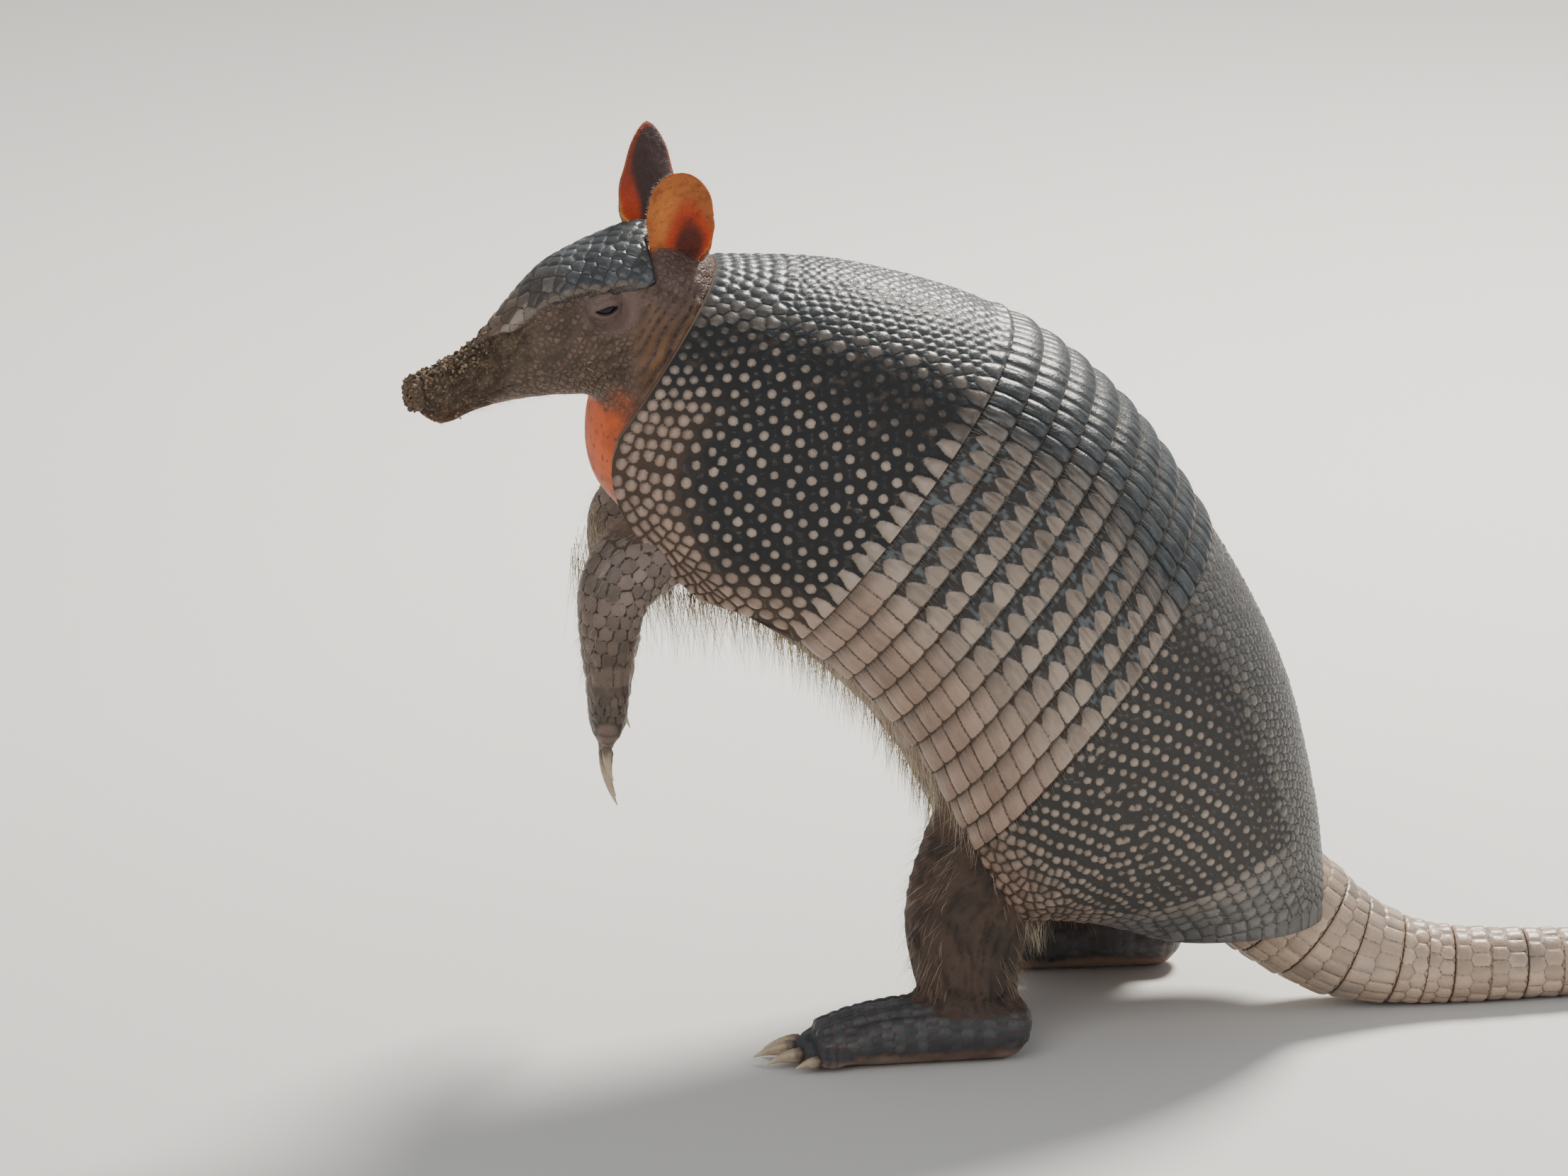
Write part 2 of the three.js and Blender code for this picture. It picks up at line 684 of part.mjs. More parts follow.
const tailCuts = steps(0, TAIL_END * TAIL_TIP_START, TAIL_LENGTHS);
const hips = [trunk(GAP), shields[1]];
for (let k = 0; k < TAIL_LENGTHS; k += 1) {
  const length = tailLength(tailCuts[k], tailCuts[k + 1], 1);
  add(`tail_${k + 1}`, "tail", k < 3 ? carve(length, ...hips, below(0)) : carve(length, below(0)));
}
add("tail_tip", "tail", carve(tailLength(tailCuts[TAIL_LENGTHS], TAIL_END, 4), below(0)));

// ---------------------------------------------------------------------------------------------------------
// Scene graph, moved so that the origin lies under the middle of the whole animal

const bounds = new THREE.Box3();
for (const { geometry } of nodes.values()) {
  geometry.computeBoundingBox();
  bounds.union(geometry.boundingBox);
}
const middle = bounds.getCenter(new THREE.Vector3());

const armadillo = new THREE.Group();
armadillo.position.set(-middle.x, -middle.y, -bounds.min.z);
for (const [name, { look, geometry }] of nodes) {
  const mesh = new THREE.Mesh(geometry, new THREE.MeshStandardMaterial(COLOURS[look]));
  mesh.name = name;
  armadillo.add(mesh);
}

export default armadillo;
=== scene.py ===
"""A nine-banded armadillo, life size, standing upright on its hind feet and tail.

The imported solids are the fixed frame. Every piece here is worked out in the animal's own
millimetres, with the same curves as the solids, and moved into the frame when its mesh is made:
the animal looks along -X, its left side is -Y, and the floor is z = 0.
"""

import logging
import math
from collections.abc import Callable
from dataclasses import dataclass, field
from enum import Enum

import bmesh
import bpy
import numpy as np
from mathutils import Matrix, Vector


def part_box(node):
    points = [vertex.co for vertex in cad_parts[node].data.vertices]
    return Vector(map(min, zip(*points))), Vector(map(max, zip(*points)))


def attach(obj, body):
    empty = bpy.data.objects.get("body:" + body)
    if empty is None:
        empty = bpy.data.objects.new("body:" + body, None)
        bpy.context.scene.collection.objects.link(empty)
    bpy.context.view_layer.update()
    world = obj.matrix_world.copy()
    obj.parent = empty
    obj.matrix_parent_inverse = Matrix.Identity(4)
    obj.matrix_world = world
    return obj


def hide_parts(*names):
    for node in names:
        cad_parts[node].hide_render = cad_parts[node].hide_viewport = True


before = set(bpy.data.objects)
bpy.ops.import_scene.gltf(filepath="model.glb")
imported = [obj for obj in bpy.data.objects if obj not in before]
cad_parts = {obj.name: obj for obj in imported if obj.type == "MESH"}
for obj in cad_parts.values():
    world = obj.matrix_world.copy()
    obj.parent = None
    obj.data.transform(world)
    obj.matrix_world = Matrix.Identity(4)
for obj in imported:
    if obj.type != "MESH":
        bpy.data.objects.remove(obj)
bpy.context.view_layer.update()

log = logging.getLogger("armadillo")
MM = 0.001
TURN = 2 * math.pi
Array = np.ndarray
Colour = tuple[float, float, float]
Place = tuple[float, float, float]
Line = Callable[[Array], Array]
Piece = bpy.types.Object
Finish = bpy.types.Material


# ---- Array tools


def rows_at(rows: list, station: Array) -> Array:
    """Values of a table of rows at stations: a cubic through the rows, sloped by their neighbours.

    Args:
        rows: lists of a station followed by its values, in order.
        station: where to read the table, any shape.

    Returns:
        The values, with one more axis than station.
    """
    table = np.asarray(rows, float)
    x, y = table[:, 0], table[:, 1:]
    last = len(x) - 1
    low = np.maximum(np.arange(last + 1) - 1, 0)
    high = np.minimum(np.arange(last + 1) + 1, last)
    slope = (y[high] - y[low]) / (x[high] - x[low])[:, None]
    station = np.asarray(station, float)
    i = np.searchsorted(x[1:-1], station)
    span = (x[i + 1] - x[i])[..., None]
    t = (station - x[i])[..., None] / span
    a = 2 * t**3 - 3 * t**2 + 1
    ends = a * y[i] + (1 - a) * y[i + 1]
    return ends + span * ((t**3 - 2 * t**2 + t) * slope[i] + (t**3 - t**2) * slope[i + 1])


def numbered(rows: list) -> list:
    """The same rows with their number placed in front as the station."""
    return [[i, *row] for i, row in enumerate(rows)]


def power(value: Array, exponent: Array | float) -> Array:
    """A power that keeps the sign, for rounded-square sections."""
    return np.sign(value) * np.abs(value) ** exponent


def smooth(value: Array, low: float, high: float) -> Array:
    """0 below low, 1 above high, and 3t^2 - 2t^3 between them."""
    t = np.clip((value - low) / (high - low), 0, 1)
    return t * t * (3 - 2 * t)


def hump(value: Array, middle: float, width: float) -> Array:
    """A bell: e to the minus ((value - middle) / width) squared."""
    return np.exp(-(((value - middle) / width) ** 2))


def unit(vectors: Array) -> Array:
    """Vectors scaled to length 1 along the last axis."""
    return vectors / np.maximum(np.linalg.norm(vectors, axis=-1, keepdims=True), 1e-9)


def hashed(cells: Array, seed: int) -> Array:
    """A repeatable number from 0 to 1 for each row of whole numbers: the fraction of a large sine.

    Args:
        cells: whole numbers, last axis is the dimension.
        seed: chooses another set of numbers.

    Returns:
        One number for each row.
    """
    weights = np.array([127.1, 311.7, 74.7])[: cells.shape[-1]]
    return np.modf(np.abs(np.sin(cells @ weights + seed * 13.7) * 43758.5453))[0]


def lot(number: Array, other: float, seed: int) -> Array:
    """A repeatable number from 0 to 1 for each number, chosen by another number and a seed."""
    return hashed(np.stack([number, 0 * number + other], -1), seed)


def run_along(points: Array) -> Array:
    """The distance run at each point of a line."""
    return np.concatenate([[0], np.cumsum(np.linalg.norm(np.diff(points, axis=0), axis=1))])


def noise(points: Array, size: float, seed: int = 0) -> Array:
    """Smooth noise from -1 to 1: hashed values at the corners of cubes, blended by 3t^2 - 2t^3.

    Args:
        points: positions, last axis is 3.
        size: edge of a cube, in the points' unit.
        seed: chooses another noise.

    Returns:
        One value for each point.
    """
    scaled = points / size
    cell = np.floor(scaled)
    t = scaled - cell
    t = t * t * (3 - 2 * t)
    total = np.zeros(points.shape[:-1])
    for corner in np.ndindex(2, 2, 2):
        side = np.array(corner)
        weight = np.prod(np.where(side, t, 1 - t), axis=-1)
        total += weight * hashed(cell + side, seed)
    return total * 2 - 1


def layered(points: Array, size: float, seed: int = 0, layers: int = 3) -> Array:
    """Noise with finer noise added: each layer has half the size and half the strength."""
    parts = [noise(points, size / 2**i, seed + i) / 2**i for i in range(layers)]
    return np.sum(parts, axis=0) / 1.6


def nearest_seeds(points: Array, seeds: Array, weight: Array | float = 0.0) -> tuple[Array, Array, Array]:
    """The cells round scattered seeds, as in a honeycomb with one seed in each cell.

    Args:
        points: N positions.
        seeds: M positions, at least two.
        weight: taken off a seed's squared distance, so that its cell grows.

    Returns:
        Distance to the nearest seed, distance to the wall between it and the next seed, which is
        half the difference of the squared distances over the gap between both seeds, and the
        nearest seed's number.
    """
    found = []
    spread = (seeds**2).sum(1) - weight
    for part in np.array_split(points, len(points) // 4096 + 1):
        rows = np.arange(len(part))
        square = spread - 2 * part @ seeds.T
        best = square.argmin(1)
        low = square[rows, best]
        square[rows, best] = np.inf
        second = square.argmin(1)
        gap = np.linalg.norm(seeds[best] - seeds[second], axis=1)
        near = np.linalg.norm(part - seeds[best], axis=1)
        found.append((near, (square[rows, second] - low) / (2 * np.maximum(gap, 1e-6)), best))
    return tuple(np.concatenate(column) for column in zip(*found))


def blended(low: Colour | Array, high: Colour | Array, amount: Array) -> Array:
    """Colours between two colours, or two arrays of colours, by an amount from 0 to 1."""
    low, high = np.asarray(low, float), np.asarray(high, float)
    t = np.clip(amount, 0, 1)[..., None]
    return low * (1 - t) + high * t


# ---- From the animal's millimetres to the frame

EYE_PLACE = (25.2, 14.6, 227.2)  # ahead of the neck pivot, to the left, height
EYE_RADIUS = 4.3
HEAD_ENDS = (-10.5, 76.5)  # the head's rear and front, ahead of the neck pivot
HEAD_PIVOT = (-75.0, 0.0)
HEAD_YAW = math.radians(14)
HEAD_ROLL = math.radians(5)
HEAD_AXIS_Z = 214.0


def head_point(ahead: Array, left: Array, up: Array) -> Array:
    """From head coordinates to the body's: a roll about the head's axis, then a turn at the neck."""
    ahead, left, up = np.broadcast_arrays(ahead, left, up)
    over = up - HEAD_AXIS_Z
    aside = left * math.cos(HEAD_ROLL) + over * math.sin(HEAD_ROLL)
    rise = over * math.cos(HEAD_ROLL) - left * math.sin(HEAD_ROLL)
    x = HEAD_PIVOT[0] - ahead * math.cos(HEAD_YAW) + aside * math.sin(HEAD_YAW)
    y = HEAD_PIVOT[1] - ahead * math.sin(HEAD_YAW) - aside * math.cos(HEAD_YAW)
    return np.stack([x, y, HEAD_AXIS_Z + rise], axis=-1)


def head_place(points: Array) -> tuple[Array, Array, Array]:
    """The way back from body points to head coordinates: ahead, left and up."""
    x, y = points[..., 0] - HEAD_PIVOT[0], points[..., 1] - HEAD_PIVOT[1]
    ahead = -x * math.cos(HEAD_YAW) - y * math.sin(HEAD_YAW)
    aside = x * math.sin(HEAD_YAW) - y * math.cos(HEAD_YAW)
    rise = points[..., 2] - HEAD_AXIS_Z
    left = aside * math.cos(HEAD_ROLL) - rise * math.sin(HEAD_ROLL)
    over = rise * math.cos(HEAD_ROLL) + aside * math.sin(HEAD_ROLL)
    return ahead, left, HEAD_AXIS_Z + over


def frame_shift() -> Array:
    """How far the frame lies from the animal's own origin, read from where the left eye is."""
    low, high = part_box("eye_left")
    return (np.array(low) + np.array(high)) / 2 / MM - head_point(*map(np.array, EYE_PLACE))


SHIFT = frame_shift()


def placed(name: str, data: bpy.types.ID) -> Piece:
    """A new object of that name, linked to the scene."""
    obj = bpy.data.objects.new(name, data)
    bpy.context.scene.collection.objects.link(obj)
    return obj


@dataclass
class Sheet:
    """Vertices, faces and what is painted on them, gathered before one mesh is made.

    Faces are rows of four vertex numbers, with -1 in the last place of a triangle.
    """

    points: list[Array] = field(default_factory=list)
    faces: list[Array] = field(default_factory=list)
    bake: list[Array] = field(default_factory=list)
    paint: dict[str, list[Array]] = field(default_factory=dict)
    count: int = 0

    def add(self, points: Array, faces: Array, bake: Array, **paint: Array) -> None:
        """Adds a patch.

        Args:
            points: N positions in the animal's millimetres.
            faces: F rows of vertex numbers within the patch.
            bake: F x 4 x 2 places on the bake map, one for each corner.
            **paint: values for each vertex, one number or three.
        """
        self.points.append(points)
        self.faces.append(np.where(faces >= 0, faces + self.count, -1))
        self.bake.append(bake)
        for name, values in paint.items():
            self.paint.setdefault(name, []).append(values)
        self.count += len(points)

    def build(self, name: str, smooth_faces: bool = True) -> Piece:
        """Makes the mesh object, in metres and in the frame.

        Args:
            name: the object's name.
            smooth_faces: whether the faces are shaded smooth.

        Returns:
            The object, linked to the scene.
        """
        points = (np.concatenate(self.points) + SHIFT) * MM
        faces = np.concatenate(self.faces)
        bake = np.concatenate(self.bake)
        used = faces >= 0
        sizes = used.sum(1)
        mesh = bpy.data.meshes.new(name)
        mesh.vertices.add(len(points))
        mesh.vertices.foreach_set("co", points.ravel().astype(np.float32))
        mesh.loops.add(int(sizes.sum()))
        mesh.loops.foreach_set("vertex_index", faces[used].astype(np.int32))
        mesh.polygons.add(len(faces))
        starts = np.concatenate([[0], np.cumsum(sizes)[:-1]])
        mesh.polygons.foreach_set("loop_start", starts.astype(np.int32))
        mesh.update(calc_edges=True)
        layer = mesh.uv_layers.new(name="OFBake")
        layer.data.foreach_set("uv", bake[used].ravel().astype(np.float32))
        for label, parts in self.paint.items():
            paint_vertices(mesh, label, np.concatenate(parts))
        mesh.polygons.foreach_set("use_smooth", np.full(len(faces), smooth_faces))
        mesh.validate()
        return placed(name, mesh)


def paint_vertices(mesh: bpy.types.Mesh, label: str, values: Array) -> None:
    """Writes one number, or one colour, for each vertex as an attribute.

    Args:
        mesh: the mesh to paint.
        label: the attribute's name.
        values: N numbers or N x 3 colours.
    """
    if values.ndim == 1:
        layer = mesh.attributes.new(label, "FLOAT", "POINT")
        layer.data.foreach_set("value", values.astype(np.float32))
        return
    layer = mesh.attributes.new(label, "FLOAT_COLOR", "POINT")
    full = np.concatenate([values, np.ones((len(values), 1))], axis=1)
    layer.data.foreach_set("color", full.ravel().astype(np.float32))


def on_map(u: Array, v: Array) -> Array:
    """Places of u and v from 0 to 1, a little inside the bake map."""
    return 0.01 + 0.98 * np.stack([u, v], -1)


def spots_on_map(place: Array, local: Array, size: float) -> Array:
    """Squares of a size on the bake map, one at each place, with local's corners from 0 to 1."""
    return (0.01 + 0.975 * place[:, None, None] + size * local).reshape(-1, 4, 2)


def copies(faces: Array, count: int, size: int) -> Array:
    """The same faces again for each of count bodies, which have size vertices each."""
    first = (np.arange(count) * size)[:, None, None]
    return np.where(faces < 0, -1, faces + first).reshape(-1, 4)


def quads(rings: int, round_: int) -> list[tuple[Array, Array]]:
    """The faces between neighbouring rings: each corner's ring, and its number in the ring."""
    i, j = np.indices((rings - 1, round_)).reshape(2, -1)
    return [(i, j), (i, j + 1), (i + 1, j + 1), (i + 1, j)]


def tube(grid: Array) -> tuple[Array, Array, Array]:
    """A closed body from rings: faces between neighbours, and a fan over each end.

    Args:
        grid: rings x round x 3 points, each ring closed on itself.

    Returns:
        Points, faces and places on the bake map, as Sheet.add takes them.
    """
    rings, round_ = grid.shape[:2]
    around = np.arange(round_)
    corners = quads(rings, round_)
    faces = [np.stack([a * round_ + b % round_ for a, b in corners], 1)]
    bake = [np.stack([on_map(b / round_, a / (rings - 1) * 0.93) for a, b in corners], 1)]
    for end, start in enumerate((0, (rings - 1) * round_)):
        pair = [around, around + 1] if end else [around + 1, around]
        hub, middle = np.full(round_, rings * round_ + end), 0.25 + 0.5 * end
        faces.append(np.stack([*(start + k % round_ for k in pair), hub, 0 * hub - 1], 1))
        turns = [TURN * k / round_ for k in pair]
        places = [on_map(middle + 0.2 * np.cos(a), 0.97 + 0.025 * np.sin(a)) for a in turns]
        centre = on_map(0 * around + middle, 0 * around + 0.97)
        bake.append(np.stack([*places, centre, centre], 1))
    points = np.concatenate([grid.reshape(-1, 3), grid[[0, -1]].mean(1)])
    return points, np.concatenate(faces), np.concatenate(bake)


def outward(grid: Array) -> Array:
    """The grid, or the grid with its rings turned round, so that a tube's faces point out.

    The sign comes from the volume of the tube: the sum of the triple products of its faces.
    """
    a, b = grid[:-1], grid[1:]
    after_a, after_b = np.roll(a, -1, axis=1), np.roll(b, -1, axis=1)
    centre = grid.reshape(-1, 3).mean(0)
    volume = np.einsum("rci,rci->", np.cross(a - centre, after_a - centre), after_b - centre)
    volume += np.einsum("rci,rci->", np.cross(a - centre, after_b - centre), b - centre)
    return grid if volume > 0 else grid[:, ::-1]


def outer_normals(skin: Array, middle: Array) -> Array:
    """Normals of a grid of points, away from a middle: the cross product of its differences."""
    normal = unit(np.cross(np.gradient(skin, axis=0), np.gradient(skin, axis=1)))
    return normal * np.sign((normal * (skin - middle)).sum(-1, keepdims=True))


def solid(name: str, grid: Array, **paint: Array) -> Piece:
    """A closed piece from rings; each end's middle takes the mean of what is painted on its ring.

    Args:
        name: the piece's name.
        grid: rings x round x 3 points.
        **paint: values for the same places, one number or three.

    Returns:
        The piece, its faces outward.
    """
    turned = outward(grid)
    full = {}
    for label, values in paint.items():
        values = values if turned is grid else values[:, ::-1]
        full[label] = np.concatenate([values.reshape(-1, *values.shape[2:]), values[[0, -1]].mean(1)])
    sheet = Sheet()
    sheet.add(*tube(turned), **full)
    return sheet.build(name)


def cut_plate(
    name: str, grid: Array, outer: int, rise: Array, look: list[Array], back: Colour
) -> Piece:
    """Raises the outside of a plate's grid of section loops along its normals, and paints it.

    Args:
        name: the piece's name.
        grid: rings x samples x 3 points.
        outer: how many samples lie outside.
        rise: millimetres for each ring and outer sample.
        look: for the outside, the distance inside a scute's edge, and the colours inside and between.
        back: colour of the rims and the underside.

    Returns:
        The piece.
    """
    skin = grid[:, :outer]
    grid[:, :outer] = skin + outer_normals(skin, grid.mean((0, 1))) * rise[..., None]
    paint = {}
    for label, values, rest in zip(("rim", "inside", "between"), look, (-1.0, (0.1, 0.1, 0.1), back)):
        tail = np.shape(rest)
        paint[label] = np.broadcast_to(rest, (*grid.shape[:2], *tail)).copy()
        paint[label][:, :outer] = values.reshape(*skin.shape[:2], *tail)
    return solid(name, grid, **paint)


# ---- Shader maths


@dataclass(frozen=True)
class Sock:
    """A shader socket that takes part in sums: each operator adds the node that works it out."""

    board: "Board"
    out: bpy.types.NodeSocket

    def _math(self, operation: str, *values: "Sock | float") -> "Sock":
        """Adds a Math node with the given operation and inputs."""
        inputs = dict(enumerate(values))
        return self.board.node("ShaderNodeMath", {"operation": operation}, inputs).only()

    def __add__(self, other: "Sock | float") -> "Sock":
        """The sum."""
        return self._math("ADD", self, other)

    __radd__ = __add__

    def __sub__(self, other: "Sock | float") -> "Sock":
        """The difference."""
        return self._math("SUBTRACT", self, other)

    def __rsub__(self, other: float) -> "Sock":
        """The difference, from a number."""
        return self._math("SUBTRACT", other, self)

    def __mul__(self, other: "Sock | float") -> "Sock":
        """The product."""
        return self._math("MULTIPLY", self, other)

    __rmul__ = __mul__

    def smooth(self, low: float, high: float) -> "Sock":
        """0 below low and 1 above high, with a smooth step between them."""
        settings = {"interpolation_type": "SMOOTHSTEP"}
        inputs = {"Value": self, "From Min": low, "From Max": high}
        return self.board.node("ShaderNodeMapRange", settings, inputs)["Result"]


@dataclass(frozen=True)
class Outs:
    """The outputs of a node just made."""

    board: "Board"
    made: bpy.types.Node

    def __getitem__(self, name: str) -> Sock:
        """The output of that name."""
        return Sock(self.board, self.made.outputs[name])

    def only(self) -> Sock:
        """The first output."""
        return Sock(self.board, self.made.outputs[0])


class Board:
    """The node board of one material, with a Principled shader at its end."""

    def __init__(self, name: str) -> None:
        """Makes an empty material with its shader and output.

        Args:
            name: the material's name.
        """
        self.material = bpy.data.materials.new(name)
        self.material.use_nodes = True
        self.tree = self.material.node_tree
        self.tree.nodes.clear()
        self.shader = self.tree.nodes.new("ShaderNodeBsdfPrincipled")
        output = self.tree.nodes.new("ShaderNodeOutputMaterial")
        self.tree.links.new(self.shader.outputs[0], output.inputs[0])

    def node(self, kind: str, settings: dict | None = None, inputs: dict | None = None) -> Outs:
        """Adds a node.

        Args:
            kind: the node's type.
            settings: its own settings, set first.
            inputs: socket names or numbers, each with a number, a tuple or a Sock.

        Returns:
            The node's outputs.
        """
        made = self.tree.nodes.new(kind)
        for key, value in (settings or {}).items():
            setattr(made, key, value)
        for key, value in (inputs or {}).items():
            self._set(made.inputs[key], value)
        return Outs(self, made)

    def _set(self, socket: bpy.types.NodeSocket, value: "Sock | float | tuple[float, ...]") -> None:
        """Links or fills one input socket; a colour gets its alpha."""
        if isinstance(value, Sock):
            self.tree.links.new(value.out, socket)
        elif isinstance(value, tuple) and socket.type == "RGBA":
            socket.default_value = (*value, 1)
        else:
            socket.default_value = value

    def finish(self, **inputs: "Sock | float | tuple[float, ...]") -> Finish:
        """Fills the shader's sockets, with underscores for the spaces in their names.

        Args:
            **inputs: socket names with their values.

        Returns:
            The finished material.
        """
        for key, value in inputs.items():
            self._set(self.shader.inputs[key.replace("_", " ")], value)
        return self.material

    def paint(self, label: str, colour: bool = False) -> Sock:
        """A painted attribute of the mesh, as a number or as a colour."""
        outs = self.node("ShaderNodeAttribute", {"attribute_name": label})
        return outs["Color" if colour else "Fac"]

    def place(self) -> Sock:
        """The point's place on the object, in metres."""
        return self.node("ShaderNodeTexCoord")["Object"]

    def grain(self, size: float, detail: float = 3.0, rough: float = 0.55) -> Sock:
        """Noise from 0 to 1 with features of a size in metres."""
        inputs = {"Vector": self.place(), "Scale": 1 / size, "Detail": detail, "Roughness": rough}
        return self.node("ShaderNodeTexNoise", None, inputs)["Fac"]

    def cells(self, size: float, feature: str = "DISTANCE_TO_EDGE", order: float = 0.0) -> Sock:
        """Distances in a field of irregular cells of a size in metres, more in rows with more order."""
        return self.field(size, feature, order)["Distance"]

    def tones(self, size: float, order: float = 0.0) -> Sock:
        """A different number from 0 to 1 for each of the cells of a size in metres."""
        return self.node("ShaderNodeSeparateColor", None, {0: self.field(size, "F1", order)["Color"]})["Red"]

    def field(self, size: float, feature: str, order: float) -> Outs:
        """A field of cells, turned so that its rows run along the lower edge of the head."""
        way = {"Vector": self.place(), "Rotation": (0.0, -0.5, 0.24)}
        turned = self.node("ShaderNodeMapping", None, way).only()
        inputs = {"Vector": turned, "Scale": 1 / size, "Randomness": 1.0 - order}
        return self.node("ShaderNodeTexVoronoi", {"feature": feature}, inputs)

    def mix(self, low: "Sock | Colour", high: "Sock | Colour", amount: "Sock | float") -> Sock:
        """A colour between two colours."""
        made = self.node("ShaderNodeMix", {"data_type": "RGBA"})
        for number, value in ((0, amount), (6, low), (7, high)):
            self._set(made.made.inputs[number], value)
        return Sock(self, made.made.outputs[2])

    def shade(self, colour: Sock, amount: "Sock | float") -> Sock:
        """A colour times a grey amount."""
        return self.node("ShaderNodeVectorMath", {"operation": "SCALE"}, {0: colour, "Scale": amount}).only()

    def bump(self, height: Sock, depth: float) -> Sock:
        """A normal from a height that runs from 0 to 1 over a depth in metres."""
        return self.node("ShaderNodeBump", None, {"Height": height, "Distance": depth})["Normal"]


# ---- Finishes


@dataclass(frozen=True)
class HornFinish:
    """Horny scutes in skin: two painted colours that meet at a painted rim, with worn grain.

    The mesh carries the colour inside the scutes, the colour between them, and rim, the distance
    in millimetres inside a scute's edge.
    """

    name: str
    rough_inside: float = 0.34
    rough_between: float = 0.78
    edge: float = 0.22
    blotch: float = 0.0045
    grain: float = 0.0007
    pits: float = 0.00012
    dust: Colour = (0.34, 0.29, 0.23)

    def material(self) -> Finish:
        """The finished material."""
        board = Board(self.name)
        fine = board.grain(self.grain)
        broad = board.grain(self.blotch, detail=4.0)
        rim = board.paint("rim") + (fine - 0.5) * 0.7
        inside = rim.smooth(-self.edge, self.edge)
        lit = board.shade(board.paint("inside", True), 0.72 + broad * 0.28 + fine * 0.28)
        dark = board.shade(board.paint("between", True), 0.55 + broad * 0.5 + fine * 0.4)
        dusty = board.mix(lit, self.dust, (broad - 0.58).smooth(0.0, 0.22) * 0.22)
        colour = board.mix(dark, dusty, inside)
        rough = self.rough_between + inside * (self.rough_inside - self.rough_between) + (fine - 0.5) * 0.22
        return board.finish(
            Base_Color=colour,
            Roughness=rough,
            Normal=board.bump(fine + broad * 0.6, self.pits),
            IOR=1.5,
        )


@dataclass(frozen=True)
class SkinFinish:
    """Bare, leathery skin: painted colours, scales at a painted rim, small beads, and dry mud."""

    name: str = "bare_skin"
    rough_skin: float = 0.60
    rough_scale: float = 0.42
    wrinkle: float = 0.00055
    bead: float = 0.0019
    crumb: float = 0.0011
    order: float = 0.35
    bead_depth: float = 0.00035
    grain: float = 0.0008
    blotch: float = 0.006

    def material(self) -> Finish:
        """The finished material."""
        board = Board(self.name)
        fine = board.grain(self.grain)
        broad = board.grain(self.blotch, detail=4.0)
        crack = board.cells(self.wrinkle).smooth(0.0, 0.25)
        inside = (board.paint("rim") + (fine - 0.5) * 0.6).smooth(-0.15, 0.2)
        beaded = board.paint("beads")
        dome = (board.cells(self.bead, order=self.order) + (fine - 0.5) * 0.05).smooth(0.01, 0.26)
        tone = board.tones(self.bead, self.order)
        muddy = board.paint("mud")
        crumb = board.cells(self.crumb, "F1").smooth(0.62, 0.15)
        grey = (0.62 + broad * 0.45 + fine * 0.3) * (0.9 + crack * 0.1)
        grey = grey * (1.0 - beaded * (1.0 - (0.60 + dome * (0.22 + tone * 0.42))))
        grey = grey * (1.0 - muddy * (0.45 - crumb * 0.65))
        bare = board.shade(board.paint("between", True), grey)
        scale = board.shade(board.paint("inside", True), 0.7 + broad * 0.35 + fine * 0.25)
        rough = self.rough_skin + inside * (self.rough_scale - self.rough_skin) + (fine - 0.5) * 0.2
        rough = rough + muddy * 0.28 - beaded * dome * 0.12
        relief = dome * beaded + crumb * muddy * 1.2 + (crack * (1 - inside * 0.7) + fine * 0.5) * 0.28
        return board.finish(
            Base_Color=board.mix(bare, scale, inside),
            Roughness=rough,
            Normal=board.bump(relief, self.bead_depth),
            Subsurface_Weight=0.08,
            Subsurface_Radius=(0.0022, 0.0009, 0.0005),
            Subsurface_Scale=1.0,
            IOR=1.45,
        )


@dataclass(frozen=True)
class EyeFinish:
    """A wet, dark brown eye with a black middle."""

    name: str = "wet_eye"
    iris: Colour = (0.030, 0.014, 0.008)
    pupil: Colour = (0.004, 0.003, 0.003)
    grain: float = 0.0006

    def material(self) -> Finish:
        """The finished material."""
        board = Board(self.name)
        fleck = board.grain(self.grain)
        outside = board.paint("pole").smooth(0.12, 0.20)
        colour = board.mix(self.pupil, self.iris, outside * (0.6 + fleck * 0.6))
        return board.finish(Base_Color=colour, Roughness=0.10 + fleck * 0.08, IOR=1.36)


@dataclass(frozen=True)
class ClawFinish:
    """Claw horn: dark and stained at the root, paler and slightly clear towards the tip, streaked."""

    name: str = "claw_horn"
    root: Colour = (0.105, 0.072, 0.050)
    middle: Colour = (0.44, 0.34, 0.23)
    tip: Colour = (0.56, 0.46, 0.33)
    grain: float = 0.0007
    streak: float = 0.0025
    pits: float = 0.00012

    def material(self) -> Finish:
        """The finished material."""
        board = Board(self.name)
        along = board.paint("along")
        fine = board.grain(self.grain)
        streak = board.grain(self.streak, detail=5.0, rough=0.7)
        stain = (along + (streak - 0.5) * 0.35).smooth(0.05, 0.45)
        colour = board.mix(board.mix(self.root, self.middle, stain), self.tip, along.smooth(0.6, 1.0))
        return board.finish(
            Base_Color=board.shade(colour, 0.7 + streak * 0.4 + fine * 0.2),
            Roughness=0.34 + fine * 0.22,
            Normal=board.bump(streak + fine * 0.4, self.pits),
            Subsurface_Weight=0.05,
            Subsurface_Radius=(0.001, 0.0006, 0.0004),
        )


